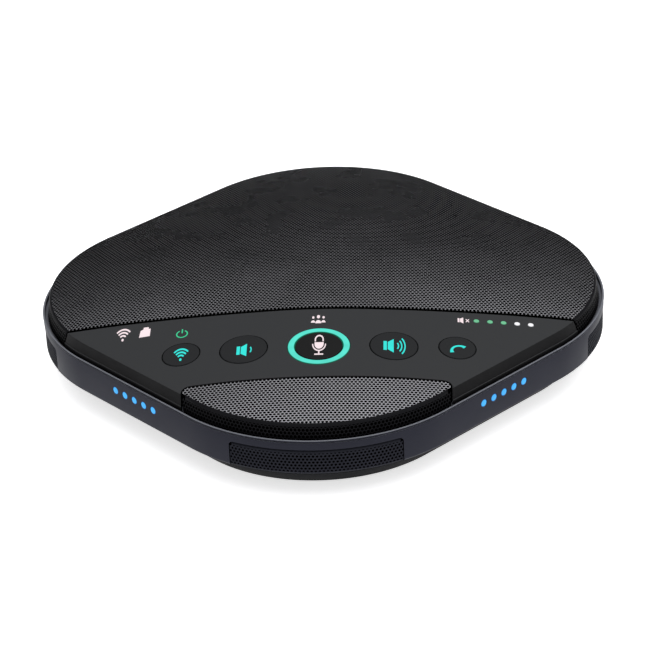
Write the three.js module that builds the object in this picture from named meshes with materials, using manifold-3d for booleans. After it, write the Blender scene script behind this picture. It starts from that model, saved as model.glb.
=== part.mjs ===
// Conference speakerphone: a low four-cornered table unit with a domed top, millimetres, +Z up.
// The origin is on the table, under the middle of the unit. The user sits on the -Y side.
// Its corners lie on the X and Y axes and its straight sides face the diagonals.
import * as THREE from 'three';
import { mergeVertices } from 'three/addons/utils/BufferGeometryUtils.js';
import Module from 'manifold-3d';

const wasm = await Module();
wasm.setup();

// ---------------------------------------------------------------- driving dimensions

const APOTHEM = 100.6; // middle to each straight side, at the lip
const CORNER_RADIUS = 68.6;
const CORNER_STEPS = 8;
const ROUND_STEPS = 24; // facets of a round part that shows
const PLAIN_STEPS = 16; // facets of a round part inside
const PIN_STEPS = 8; // facets of a thin pin or its hole
const GAP = 0.3; // clearance between neighbours

const BASE_BOTTOM = { height: 1.2, inset: 13.5 };
const BASE_EDGE = { height: 2.4, inset: 11.3 }; // where the sloping side starts
const BASE_FLOOR = 3.2;
const WALL_BOTTOM = { height: 10.7, inset: 2.9 };
const WALL_TURN = { height: 13, inset: 0.15 }; // below this the wall turns inwards
const WALL_THICKNESS = 2;
const LIP_TOP = 26.5;
const LIP = { height: 0.65, round: 0.25, innerInset: 0.9 };
const GROOVE = { height: 0.35, inset: 0.6 }; // fine line under the lip
const LEDGE_TOP = 24.5;
const LEDGE_THICKNESS = 1.5;
const LEDGE_INSET = 8;

const FOLD_HEIGHT = 31.9; // edge between the steep rim and the dome
const FOLD_INSET = 3.2;
const DOME_RISE = 9.1;
const DOME_RINGS = 5;
const TOP_SKIRT_INSET = 1.8;
const STEP_HEIGHT = 27.6; // small step at the foot of the control panel's rim
const STEP_WIDTH = 0.35;
const STEP_SLOPE = 0.1;

const PANEL_THICKNESS = 1.8;
const PANEL_BACK_Y = -36.5;
const GRILLE_THICKNESS = 0.9;
const REAR_GRILLE = { proud: 0.3, gap: 0.9 }; // above the panel's face, behind its edge
const FRONT_GRILLE = { halfWidth: 50.8, backY: -82.5, cornerRadius: 3, sink: 0.1 };
const FRONT_SEAM = 0.35; // half the slot around the front grille

const BUTTON_TRAVEL = 0.5;
const STEM_CLEARANCE = BUTTON_TRAVEL + 0.2; // stem to switch
const ROOT_OVERLAP = 0.1; // sinks a joined solid into its neighbour
const BUTTON_PROUD = 0.15;
const BUTTON_FLANGE = { overhang: 1, thickness: 0.6 };
const STEM_RADIUS = 2.2;
const BUTTONS = [
  { name: 'wireless', x: -52.7, y: -61.1, radius: 7.8 },
  { name: 'volume_down', x: -28.4, y: -62.1, radius: 9.7 },
  { name: 'volume_up', x: 29.3, y: -62, radius: 9.7 },
  { name: 'call', x: 53.6, y: -60.8, radius: 7.6 },
];
const MUTE = { x: 0.6, y: -62.7, ringRadius: 12, ringInner: 9.4, footWidth: 1, footHeight: 1 };
const LEVEL_LIGHTS = { count: 5, firstX: 61.4, pitch: 5.28, y: -41.9, radius: 1.15 };
const STATUS_ICONS = [
  { x: -53.4, y: -47.2 },
  { x: -68.2, y: -43 },
  { x: -76.9, y: -43.2 },
];

const SIDE_LIGHTS = { count: 5, pitch: 5.59, height: 20.6, radius: 1.25 };
const SIDE_GUIDE_BAR = { depth: 2.5, halfHeight: 1.5, overhang: 3 };
const MIC_WINDOW = { halfWidth: 32.6, top: 22.5, cornerRadius: 1.8 };
const MIC_RECESS = 0.5;
const MIC_GRILLE_THICKNESS = 1.2;
const MIC = { height: 17.9, radius: 3, length: 5, bootRadius: 4.6, bootLength: 8 };

const CHASSIS = { bottom: 24.8, thickness: 2, inset: 5.4 };
const POST = { x: 52, y: 52, radius: 4, seatRadius: 4.5, bottom: 5.5, holeRadius: 1.5, holeDepth: 10 };
const SCREW = {
  headRadius: 2.8, headBottom: 1.6, headHeight: 1.8, radius: 1.2, length: 11, socketRadius: 1.2,
  socketDepth: 1, socketSides: 6,
};
const FOOT = { reach: 80, radius: 7, height: 1.7, bevel: 0.6, pocketTop: 2 };

const DECK = CHASSIS.bottom + CHASSIS.thickness + GAP; // underside of what lies on the chassis
const SPEAKER = { y: 10, flangeRadius: 39, flangeThickness: 1.5, openingRadius: 35 };
const BASKET = { bottom: 15.4, innerRadius: 13, footRadius: 21, wall: 1.5 };
const BASKET_WINDOW = { innerRadius: 18, halfWidth: 9, bottom: 18.4, top: 25.1 };
const MAGNET = {
  radius: 22, bottom: 6.6, backThickness: 2, poleRadius: 9.2, gapRadius: 10.8, top: 15.1,
};
const COIL = { inner: 9.6, outer: 10.4, bottom: 10.5, top: 17.8 };
const CONE = { rim: 30, rimWidth: 2, thickness: 0.8, neckWidth: 1.2, neckHeight: 1.4 };
const DUST_CAP = { rise: 3.2, thickness: 1, edge: 0.8, shoulder: 0.7, shoulderRise: 1.8 };
const SURROUND = { thickness: 0.8, rollBottom: 1.6, rollTop: 2.2, rollHalf: 1, lap: 3 };
const FRONT_SPEAKER = {
  y: -92, halfLength: 24, halfWidth: 8, flangeThickness: 1.2, canInset: 2.5, canBottom: 17, wall: 1,
};
const FRONT_CONE = { thickness: 0.8, top: 1 }; // top is above the basket's seat
const KEY_BOARD = {
  thickness: 1.2, backHalf: 86, backY: -38.5, cornerY: -46, frontHalf: 46, frontY: -80,
};
const SWITCH = { side: 6, bodyHeight: 0.9, plungerRadius: 1.6, plungerHeight: 0.3 };
const PANEL_GUIDE = { above: 0.9, thickness: 1, halfWidth: 2 }; // light bar over the key board
const STATUS_GUIDE = { frontY: -49.5, backY: -40.5, overhang: 3, rodRadius: 2 };

const BATTERY = { width: 76, depth: 40, height: 12, y: -56 };
const MAIN_BOARD = { halfWidth: 44, frontY: 50, backY: 80, bottom: 8, thickness: 1.6 };
const CHIPS = [
  { x: -12, y: 62, side: 12, height: 1.2 },
  { x: 16, y: 68, side: 8, height: 1 },
  { x: 30, y: 58, side: 5, height: 2.4 },
];
const PORTS = { height: 15, usbAlong: -24, audioAlong: 24 };
const PORT_BOARD = { halfLength: 30, innerInset: 20, outerInset: 5.4, top: 12.7, thickness: 1.2 };
const USB = { width: 8.94, height: 3.26, depth: 9, wall: 0.35, backWall: 1 };
const USB_TONGUE = { halfWidth: 3.37, halfThickness: 0.35, recess: 1 };
const AUDIO = { side: 6, noseRadius: 2.7, boreRadius: 1.8, depth: 12, noseLength: 3.6, backWall: 1 };

// ---------------------------------------------------------------- colours

const LOOKS = {
  housing: { color: 0x3a3a46, roughness: 0.45, metalness: 0.1 },
  black: { color: 0x151516, roughness: 0.5, metalness: 0 },
  panel: { color: 0x3b3c3d, roughness: 0.4, metalness: 0 },
  button: { color: 0x2c2d2e, roughness: 0.4, metalness: 0 },
  grille: { color: 0x4a4a4d, roughness: 0.5, metalness: 0.4 },
  glow: { color: 0x53ddc8, roughness: 0.3, metalness: 0 },
  clear: { color: 0x49a5d7, roughness: 0.2, metalness: 0 },
  rubber: { color: 0x1a1a1a, roughness: 0.9, metalness: 0 },
  steel: { color: 0xa8abb0, roughness: 0.35, metalness: 0.9 },
  board: { color: 0x1d5a37, roughness: 0.5, metalness: 0 },
  paper: { color: 0x26231f, roughness: 0.9, metalness: 0 },
  battery: { color: 0x3f6fae, roughness: 0.5, metalness: 0 },
  copper: { color: 0xb8703a, roughness: 0.4, metalness: 0.8 },
};

// ---------------------------------------------------------------- solids and booleans

function solidOf(geometry) {
  geometry.deleteAttribute('normal');
  geometry.deleteAttribute('uv');
  const merged = mergeVertices(geometry);
  return new wasm.Manifold(new wasm.Mesh({
    numProp: 3,
    vertProperties: new Float32Array(merged.attributes.position.array),
    triVerts: new Uint32Array(merged.index.array),
  }));
}

function geometryOf(solid) {
  const mesh = solid.getMesh();
  const geometry = new THREE.BufferGeometry();
  geometry.setAttribute('position', new THREE.Float32BufferAttribute(mesh.vertProperties, 3));
  geometry.setIndex(new THREE.Uint32BufferAttribute(mesh.triVerts, 1));
  geometry.computeVertexNormals();
  return geometry;
}

function box(low, high) {
  const geometry = new THREE.BoxGeometry(high[0] - low[0], high[1] - low[1], high[2] - low[2]);
  const middle = low.map((value, axis) => (value + high[axis]) / 2);
  return solidOf(geometry.translate(...middle));
}

// An upright rod standing at (x, y) from bottom to top.
function rod(x, y, radius, bottom, top, steps = PLAIN_STEPS) {
  const geometry = new THREE.CylinderGeometry(radius, radius, top - bottom, steps);
  geometry.rotateX(Math.PI / 2);
  return solidOf(geometry.translate(x, y, (bottom + top) / 2));
}

// A flat outline made thick from bottom to top, its middle moved to y.
function slab(shape, bottom, top, y = 0) {
  const settings = { depth: top - bottom, bevelEnabled: false, curveSegments: 6 };
  return solidOf(new THREE.ExtrudeGeometry(shape, settings).translate(0, y, bottom));
}

// A turned solid about the upright axis through (x, y); the profile is a list of [radius, height].
function turned(x, y, profile, steps = PLAIN_STEPS) {
  const points = profile.map(([radius, height]) => new THREE.Vector2(radius, height));
  const geometry = new THREE.LatheGeometry(points, steps);
  geometry.rotateX(Math.PI / 2);
  return solidOf(geometry.translate(x, y, 0));
}

function roundedBox(halfWidth, halfHeight, radius) {
  const shape = new THREE.Shape();
  const x = halfWidth - radius;
  const y = halfHeight - radius;
  shape.absarc(x, -y, radius, -Math.PI / 2, 0, false);
  shape.absarc(x, y, radius, 0, Math.PI / 2, false);
  shape.absarc(-x, y, radius, Math.PI / 2, Math.PI, false);
  shape.absarc(-x, -y, radius, Math.PI, 1.5 * Math.PI, false);
  return shape;
}

// ---------------------------------------------------------------- the rounded-square outline

const CORNER_CENTRE = (APOTHEM - CORNER_RADIUS) * Math.SQRT2;
const CORNER_REACH = CORNER_CENTRE + CORNER_RADIUS;
const WALL_FACE = APOTHEM - WALL_TURN.inset; // middle to the face of a straight side

// One turn around the outline, drawn in by inset and scaled about the middle.
function outlineRing(inset, height, scale = 1) {
  const ring = [];
  const radius = CORNER_RADIUS - inset;
  for (let corner = 0; corner < 4; corner += 1) {
    const heading = corner * Math.PI / 2;
    for (let step = 0; step <= CORNER_STEPS; step += 1) {
      const angle = heading + (step / CORNER_STEPS - 0.5) * Math.PI / 2;
      const x = CORNER_CENTRE * Math.cos(heading) + radius * Math.cos(angle);
      const y = CORNER_CENTRE * Math.sin(heading) + radius * Math.sin(angle);
      ring.push(new THREE.Vector3(x * scale, y * scale, height));
    }
  }
  return ring;
}

// Skin laid over rings that run outwards and upwards; the ends are closed at the middle,
// or the last ring joins the first when the rings go around a hoop.
function skinned(rings, hoop = false) {
  const perRing = rings[0].length;
  const points = rings.flat();
  const faces = [];
  const lastRing = hoop ? rings.length : rings.length - 1;
  for (let level = 0; level < lastRing; level += 1) {
    const low = level * perRing;
    const high = ((level + 1) % rings.length) * perRing;
    for (let step = 0; step < perRing; step += 1) {
      const next = (step + 1) % perRing;
      faces.push(low + step, low + next, high + next);
      faces.push(low + step, high + next, high + step);
    }
  }
  if (!hoop) {
    const bottom = points.length;
    points.push(new THREE.Vector3(0, 0, rings[0][0].z));
    points.push(new THREE.Vector3(0, 0, rings.at(-1).apex ?? rings.at(-1)[0].z));
    const top = (rings.length - 1) * perRing;
    for (let step = 0; step < perRing; step += 1) {
      const next = (step + 1) % perRing;
      faces.push(bottom, next, step);
      faces.push(bottom + 1, top + step, top + next);
    }
  }
  const geometry = new THREE.BufferGeometry().setFromPoints(points);
  geometry.setIndex(faces);
  return solidOf(geometry);
}

// Distance from the middle to the fold, at an angle from the nearest corner.
function foldReach(fromCorner) {
  const radius = CORNER_RADIUS - FOLD_INSET;
  const diagonal = radius * Math.SQRT1_2;
  if (Math.abs(fromCorner) > Math.atan2(diagonal, CORNER_CENTRE + diagonal)) {
    return (APOTHEM - FOLD_INSET) / Math.cos(Math.PI / 4 - Math.abs(fromCorner));
  }
  const along = CORNER_CENTRE * Math.cos(fromCorner);
  const across = CORNER_CENTRE * Math.sin(fromCorner);
  return along + Math.sqrt(radius * radius - across * across);
}

// How far out (x, y) is towards the fold, from 0 in the middle to 1 on it.
function domeShare(x, y) {
  const quarter = Math.PI / 2;
  const angle = Math.atan2(y, x);
  return Math.hypot(x, y) / foldReach(angle - Math.round(angle / quarter) * quarter);
}

function domeHeight(x, y) {
  return FOLD_HEIGHT + DOME_RISE * (1 - domeShare(x, y) ** 2);
}

function lowestOnRim(x, y, radius) {
  const heights = Array.from({ length: PLAIN_STEPS }, (_, step) => {
    const angle = step * 2 * Math.PI / PLAIN_STEPS;
    return domeHeight(x + radius * Math.cos(angle), y + radius * Math.sin(angle));
  });
  return Math.min(...heights);
}

// A solid under the dome, moved down by drop and drawn in by inset, with rim rings below the fold.
function domeSolid(rimRings, drop = 0, inset = 0) {
  const rings = [...rimRings];
  for (let step = 0; step < DOME_RINGS; step += 1) {
    const share = 1 - step / DOME_RINGS;
    const height = FOLD_HEIGHT - drop + DOME_RISE * (1 - share * share);
    rings.push(outlineRing(FOLD_INSET + inset, height, share));
  }
  rings.at(-1).apex = FOLD_HEIGHT - drop + DOME_RISE;
  return skinned(rings);
}

const SKIRT_BOTTOM = LEDGE_TOP + GAP;
const DEEP = 20; // below the top's skirt
const HIGH = 60; // above the dome
const WIDE = 130; // beyond the corners

// The sheet of the top between its outer face and the same face moved in by the thickness.
function topSkin(thickness, drop, stepped) {
  const outerRim = [outlineRing(TOP_SKIRT_INSET, SKIRT_BOTTOM)];
  if (stepped) {
    outerRim.push(outlineRing(TOP_SKIRT_INSET, STEP_HEIGHT));
    outerRim.push(outlineRing(TOP_SKIRT_INSET + STEP_WIDTH, STEP_HEIGHT + STEP_SLOPE));
  }
  const innerInset = TOP_SKIRT_INSET + STEP_WIDTH + thickness;
  const innerRim = [outlineRing(innerInset, DEEP)];
  const inner = domeSolid(innerRim, drop + thickness, thickness);
  return domeSolid(outerRim, drop).subtract(inner);
}

// Everything in front of the front grille's seam, grown by extra on each side.
function frontGrilleArea(extra) {
  const { halfWidth, backY, cornerRadius } = FRONT_GRILLE;
  const depth = WIDE + backY;
  const area = roundedBox(halfWidth + extra, depth / 2 + extra, cornerRadius + extra);
  return slab(area, DEEP, HIGH, backY - depth / 2);
}

function backArea(frontY) {
  return box([-WIDE, frontY, DEEP], [WIDE, WIDE, HIGH]);
}

// ---------------------------------------------------------------- the four sides and corners

const SIDES = [
  { name: 'back_right', heading: Math.PI / 4 },
  { name: 'back_left', heading: 3 * Math.PI / 4 },
  { name: 'front_left', heading: 5 * Math.PI / 4 },
  { name: 'front_right', heading: 7 * Math.PI / 4 },
];
const CORNERS = [
  { name: 'right', heading: 0 },
  { name: 'back', heading: Math.PI / 2 },
  { name: 'left', heading: Math.PI },
  { name: 'front', heading: 3 * Math.PI / 2 },
];

// A geometry built facing +X is turned to a heading, then its middle moved to y.
function facing(geometry, heading, y = 0) {
  return solidOf(geometry.rotateZ(heading).translate(0, y, 0));
}

// A rod along the outward direction, from one distance to another.
function outwardRod(heading, from, to, across, height, radius, steps = PLAIN_STEPS) {
  const geometry = new THREE.CylinderGeometry(radius, radius, to - from, steps);
  geometry.rotateZ(-Math.PI / 2);
  return facing(geometry.translate((from + to) / 2, across, height), heading);
}

function outwardBox(heading, from, to, acrossLow, acrossHigh, bottom, top, y = 0) {
  const geometry = new THREE.BoxGeometry(to - from, acrossHigh - acrossLow, top - bottom);
  geometry.translate((from + to) / 2, (acrossLow + acrossHigh) / 2, (bottom + top) / 2);
  return facing(geometry, heading, y);
}

// A flat bar with round edges along the outward direction.
function outwardOval(heading, halfWidth, halfHeight, from, to, across, height) {
  const settings = { depth: to - from, bevelEnabled: false, curveSegments: 4 };
  const shape = roundedBox(halfWidth, halfHeight, halfHeight);
  const geometry = new THREE.ExtrudeGeometry(shape, settings);
  geometry.rotateX(Math.PI / 2).rotateZ(Math.PI / 2);
  return facing(geometry.translate(from, across, height), heading);
}

// The wall's face from its bottom edge up to a height, drawn in by extra.
function wallFace(extra, top) {
  return [
    outlineRing(WALL_BOTTOM.inset + extra, WALL_BOTTOM.height),
    outlineRing(WALL_TURN.inset + extra, WALL_TURN.height),
    outlineRing(WALL_TURN.inset + extra, top),
  ];
}

// A flat outline across and up, pushed outwards through a corner.
function cornerCutter(heading, halfWidth, bottom, top, cornerRadius) {
  const shape = new THREE.Shape();
  shape.moveTo(-halfWidth, bottom);
  shape.lineTo(halfWidth, bottom);
  shape.absarc(halfWidth - cornerRadius, top - cornerRadius, cornerRadius, 0, Math.PI / 2, false);
  shape.absarc(cornerRadius - halfWidth, top - cornerRadius, cornerRadius, Math.PI / 2, Math.PI, false);
  const depth = WIDE - CORNER_CENTRE;
  const geometry = new THREE.ExtrudeGeometry(shape, { depth, bevelEnabled: false, curveSegments: 4 });
  geometry.rotateX(Math.PI / 2);
  geometry.rotateZ(Math.PI / 2);
  return facing(geometry.translate(CORNER_CENTRE, 0, 0), heading);
}

function sideLightPlaces() {
  const { count, pitch } = SIDE_LIGHTS;
  return Array.from({ length: count }, (_, index) => (index - (count - 1) / 2) * pitch);
}

function levelLightPlaces() {
  const { count, firstX, pitch } = LEVEL_LIGHTS;
  return Array.from({ length: count }, (_, index) => firstX + index * pitch);
}

// ---------------------------------------------------------------- casings

function sideHousing() {
  const ledgeBottom = LEDGE_TOP - LEDGE_THICKNESS;
  const grooveTop = LIP_TOP - LIP.height;
  const grooveBottom = grooveTop - GROOVE.height;
  let housing = skinned([
    ...wallFace(0, grooveBottom),
    outlineRing(GROOVE.inset, grooveBottom),
    outlineRing(GROOVE.inset, grooveTop),
    outlineRing(0, grooveTop),
    outlineRing(0, LIP_TOP - LIP.round),
    outlineRing(LIP.round, LIP_TOP),
    outlineRing(LIP.innerInset, LIP_TOP),
    outlineRing(LIP.innerInset, LEDGE_TOP),
    outlineRing(LEDGE_INSET, LEDGE_TOP),
    outlineRing(LEDGE_INSET, ledgeBottom),
    ...wallFace(WALL_THICKNESS, ledgeBottom).reverse(),
  ], true);
  for (const { heading } of CORNERS) {
    const { halfWidth, top, cornerRadius } = MIC_WINDOW;
    housing = housing.subtract(cornerCutter(heading, halfWidth, 0, top, cornerRadius));
  }
  for (const { heading } of SIDES) {
    for (const across of sideLightPlaces()) {
      const hole = outwardRod(heading, APOTHEM - LEDGE_INSET, WIDE, across, SIDE_LIGHTS.height,
        SIDE_LIGHTS.radius + GAP / 2, PIN_STEPS);
      housing = housing.subtract(hole);
    }
  }
  const { heading } = SIDES[0];
  const { usbAlong, audioAlong, height } = PORTS;
  const usbSlot = outwardOval(heading, USB.width / 2 + GAP, USB.height / 2 + GAP,
    APOTHEM - LEDGE_INSET, WIDE, usbAlong, height);
  const audioHole = outwardRod(heading, APOTHEM - LEDGE_INSET, WIDE, audioAlong, height,
    AUDIO.noseRadius + GAP);
  return housing.subtract(usbSlot).subtract(audioHole);
}

function screwPlaces() {
  const { x, y } = POST;
  return [
    { name: 'back_right', x, y },
    { name: 'back_left', x: -x, y },
    { name: 'front_left', x: -x, y: -y },
    { name: 'front_right', x, y: -y },
  ];
}

function footPlaces() {
  return CORNERS.map(({ name, heading }) => ({
    name,
    x: FOOT.reach * Math.cos(heading),
    y: FOOT.reach * Math.sin(heading),
  }));
}

function baseShell() {
  const edge = WALL_BOTTOM.inset + GAP;
  const top = WALL_BOTTOM.height - GAP;
  let base = skinned([
    outlineRing(BASE_BOTTOM.inset, BASE_BOTTOM.height),
    outlineRing(BASE_EDGE.inset, BASE_EDGE.height),
    outlineRing(edge, top),
    outlineRing(edge + WALL_THICKNESS, top),
    outlineRing(BASE_EDGE.inset + WALL_THICKNESS, BASE_FLOOR),
  ]);
  const headTop = SCREW.headBottom + SCREW.headHeight + GAP;
  for (const { x, y } of screwPlaces()) {
    base = base.add(rod(x, y, POST.seatRadius, BASE_FLOOR - ROOT_OVERLAP, POST.bottom - GAP));
    base = base.subtract(rod(x, y, SCREW.headRadius + GAP, 0, headTop));
    base = base.subtract(rod(x, y, SCREW.radius + GAP, 0, POST.bottom));
  }
  for (const { x, y } of footPlaces()) {
    base = base.subtract(rod(x, y, FOOT.radius + GAP, 0, FOOT.pocketTop, ROUND_STEPS));
  }
  return base;
}

function rearGrille() {
  const { proud, gap } = REAR_GRILLE;
  return topSkin(GRILLE_THICKNESS, -proud, false).intersect(backArea(PANEL_BACK_Y + gap));
}

function frontGrille() {
  const skin = topSkin(GRILLE_THICKNESS, FRONT_GRILLE.sink, false);
  return skin.intersect(frontGrilleArea(-FRONT_SEAM));
}

function controlPanel() {
  let panel = topSkin(PANEL_THICKNESS, 0, true);
  panel = panel.subtract(backArea(PANEL_BACK_Y)).subtract(frontGrilleArea(FRONT_SEAM));
  for (const { x, y, radius } of BUTTONS) {
    panel = panel.subtract(rod(x, y, radius, DEEP, HIGH, ROUND_STEPS));
  }
  panel = panel.subtract(rod(MUTE.x, MUTE.y, MUTE.ringRadius + GAP / 2, DEEP, HIGH, ROUND_STEPS));
  for (const x of levelLightPlaces()) {
    const radius = LEVEL_LIGHTS.radius + GAP / 2;
    panel = panel.subtract(rod(x, LEVEL_LIGHTS.y, radius, DEEP, HIGH, PIN_STEPS));
  }
  return panel;
}

function racetrack(halfLength, halfWidth) {
  return roundedBox(halfLength, halfWidth, halfWidth);
}

function chassisPlate() {
  const { bottom, thickness, inset } = CHASSIS;
  let plate = skinned([outlineRing(inset, bottom), outlineRing(inset, bottom + thickness)]);
  plate = plate.subtract(rod(0, SPEAKER.y, SPEAKER.openingRadius + GAP, 0, HIGH, ROUND_STEPS));
  const { y: frontY, halfLength, halfWidth, canInset } = FRONT_SPEAKER;
  const opening = racetrack(halfLength - canInset + 2 * GAP, halfWidth - canInset + 2 * GAP);
  plate = plate.subtract(slab(opening, 0, HIGH, frontY));
  for (const { x, y } of screwPlaces()) {
    plate = plate.add(rod(x, y, POST.radius, POST.bottom, bottom + ROOT_OVERLAP));
    plate = plate.subtract(rod(x, y, POST.holeRadius, 0, POST.bottom + POST.holeDepth));
  }
  return plate;
}

// ---------------------------------------------------------------- corner microphones, side lights

// A curved plate that fills a corner's window, a little behind the wall's face.
function micGrille(heading) {
  const { halfWidth, top, cornerRadius } = MIC_WINDOW;
  const band = skinned([
    ...wallFace(MIC_RECESS, top),
    ...wallFace(MIC_RECESS + MIC_GRILLE_THICKNESS, top).reverse(),
  ], true);
  return band.intersect(cornerCutter(heading, halfWidth - GAP, 0, top - GAP, cornerRadius));
}

const MIC_MOUTH = CORNER_REACH - WALL_TURN.inset - MIC_RECESS - MIC_GRILLE_THICKNESS - 2 * GAP;

function micBoot(heading) {
  const { height, radius, length, bootRadius, bootLength } = MIC;
  const body = outwardRod(heading, MIC_MOUTH - bootLength, MIC_MOUTH, 0, height, bootRadius);
  const bore = outwardRod(heading, MIC_MOUTH - length - 2 * GAP, WIDE, 0, height, radius + GAP);
  return body.subtract(bore);
}

function micCapsule(heading) {
  const { height, radius, length } = MIC;
  return outwardRod(heading, MIC_MOUTH - length - GAP, MIC_MOUTH - GAP, 0, height, radius);
}

function sideLightGuide(heading) {
  const { height, radius } = SIDE_LIGHTS;
  const { depth, halfHeight, overhang } = SIDE_GUIDE_BAR;
  const outer = WALL_FACE - WALL_THICKNESS - GAP;
  const reach = sideLightPlaces().at(-1) + overhang;
  const bottom = height - halfHeight;
  let guide = outwardBox(heading, outer - depth, outer, -reach, reach, bottom, height + halfHeight);
  for (const across of sideLightPlaces()) {
    const root = outer - ROOT_OVERLAP;
    guide = guide.add(outwardRod(heading, root, WALL_FACE, across, height, radius, PIN_STEPS));
  }
  return guide;
}

// ---------------------------------------------------------------- buttons and panel lights

const KEY_BOARD_TOP = DECK + KEY_BOARD.thickness;
const SWITCH_BOTTOM = KEY_BOARD_TOP + GAP;
const PLUNGER_TOP = SWITCH_BOTTOM + SWITCH.bodyHeight + SWITCH.plungerHeight;
const STEM_BOTTOM = PLUNGER_TOP + STEM_CLEARANCE;

// A cap that follows the dome, with a flange that keeps it under the panel and a stem.
function button(x, y, capRadius, flangeTop) {
  const follows = domeSolid([outlineRing(FOLD_INSET, DEEP)], -BUTTON_PROUD);
  const cap = rod(x, y, capRadius, flangeTop - ROOT_OVERLAP, HIGH, ROUND_STEPS).intersect(follows);
  const flangeBottom = flangeTop - BUTTON_FLANGE.thickness;
  const flange = rod(x, y, capRadius + BUTTON_FLANGE.overhang, flangeBottom, flangeTop);
  const stem = rod(x, y, STEM_RADIUS, STEM_BOTTOM, flangeTop - ROOT_OVERLAP);
  return cap.add(flange).add(stem);
}

function panelButton({ x, y, radius }) {
  const reach = radius + BUTTON_FLANGE.overhang;
  const flangeTop = lowestOnRim(x, y, reach) - PANEL_THICKNESS - 2 * GAP;
  return button(x, y, radius - GAP, flangeTop);
}

const MUTE_FOOT_TOP = lowestOnRim(MUTE.x, MUTE.y, MUTE.ringRadius + MUTE.footWidth)
  - PANEL_THICKNESS - GAP;
const MUTE_RING_BOTTOM = MUTE_FOOT_TOP - MUTE.footHeight;

function muteButton() {
  return button(MUTE.x, MUTE.y, MUTE.ringInner - GAP, MUTE_RING_BOTTOM - GAP);
}

function muteLightRing() {
  const { x, y, ringRadius, ringInner, footWidth } = MUTE;
  const follows = domeSolid([outlineRing(FOLD_INSET, DEEP)], -BUTTON_PROUD);
  const wall = rod(x, y, ringRadius, MUTE_RING_BOTTOM, HIGH, ROUND_STEPS).intersect(follows);
  const foot = rod(x, y, ringRadius + footWidth, MUTE_RING_BOTTOM, MUTE_FOOT_TOP, ROUND_STEPS);
  return wall.add(foot).subtract(rod(x, y, ringInner, DEEP, HIGH, ROUND_STEPS));
}

const GUIDE_BOTTOM = KEY_BOARD_TOP + PANEL_GUIDE.above;
const GUIDE_TOP = GUIDE_BOTTOM + PANEL_GUIDE.thickness;

function levelLightGuide() {
  const places = levelLightPlaces();
  const { y, radius } = LEVEL_LIGHTS;
  const { halfWidth } = PANEL_GUIDE;
  const low = places[0] - halfWidth;
  const high = places.at(-1) + halfWidth;
  const follows = domeSolid([outlineRing(FOLD_INSET, DEEP)]);
  let guide = box([low, y - halfWidth, GUIDE_BOTTOM], [high, y + halfWidth, GUIDE_TOP]);
  for (const x of places) {
    const dot = rod(x, y, radius, GUIDE_TOP - ROOT_OVERLAP, HIGH, PIN_STEPS);
    guide = guide.add(dot.intersect(follows));
  }
  return guide;
}

function statusLightGuide() {
  const xs = STATUS_ICONS.map(({ x }) => x);
  const { frontY, backY, overhang, rodRadius } = STATUS_GUIDE;
  const low = Math.min(...xs) - overhang;
  const high = Math.max(...xs) + overhang;
  let guide = box([low, frontY, GUIDE_BOTTOM], [high, backY, GUIDE_TOP]);
  for (const { x, y } of STATUS_ICONS) {
    const top = lowestOnRim(x, y, rodRadius) - PANEL_THICKNESS - 3 * GAP;
    guide = guide.add(rod(x, y, rodRadius, GUIDE_TOP - ROOT_OVERLAP, top, PIN_STEPS));
  }
  return guide;
}

function keyBoard() {
  const { backHalf, backY, cornerY, frontHalf, frontY } = KEY_BOARD;
  const outline = new THREE.Shape();
  outline.moveTo(-backHalf, backY);
  outline.lineTo(-backHalf, cornerY);
  outline.lineTo(-frontHalf, frontY);
  outline.lineTo(frontHalf, frontY);
  outline.lineTo(backHalf, cornerY);
  outline.lineTo(backHalf, backY);
  return slab(outline, DECK, KEY_BOARD_TOP);
}

function keySwitch(x, y) {
  const half = SWITCH.side / 2;
  const bodyTop = SWITCH_BOTTOM + SWITCH.bodyHeight;
  const body = box([x - half, y - half, SWITCH_BOTTOM], [x + half, y + half, bodyTop]);
  const plunger = rod(x, y, SWITCH.plungerRadius, bodyTop - ROOT_OVERLAP, PLUNGER_TOP, PIN_STEPS);
  return body.add(plunger);
}

// ---------------------------------------------------------------- loudspeakers

const SURROUND_SEAT = DECK + SPEAKER.flangeThickness + GAP;
const CONE_FOOT = COIL.top + GAP;

function speakerBasket() {
  const { y, flangeRadius, flangeThickness, openingRadius } = SPEAKER;
  const { bottom, innerRadius, footRadius, wall } = BASKET;
  let basket = turned(0, y, [
    [innerRadius, bottom], [footRadius, bottom], [openingRadius, DECK], [flangeRadius, DECK],
    [flangeRadius, DECK + flangeThickness], [openingRadius - wall, DECK + flangeThickness],
    [footRadius - wall, bottom + wall], [innerRadius, bottom + wall], [innerRadius, bottom],
  ], ROUND_STEPS);
  const { innerRadius: from, halfWidth, bottom: low, top } = BASKET_WINDOW;
  for (const { heading } of SIDES) {
    const window = outwardBox(heading, from, openingRadius, -halfWidth, halfWidth, low, top, y);
    basket = basket.subtract(window);
  }
  return basket;
}

function speakerMagnet() {
  const { radius, bottom, backThickness, poleRadius, gapRadius, top } = MAGNET;
  const gapBottom = bottom + backThickness;
  return turned(0, SPEAKER.y, [
    [0, bottom], [radius, bottom], [radius, top], [gapRadius, top],
    [gapRadius, gapBottom], [poleRadius, gapBottom], [poleRadius, top], [0, top],
  ], ROUND_STEPS);
}

function voiceCoil() {
  const { inner, outer, bottom, top } = COIL;
  return turned(0, SPEAKER.y, [
    [inner, bottom], [outer, bottom], [outer, top], [inner, top], [inner, bottom],
  ], ROUND_STEPS);
}

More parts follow.
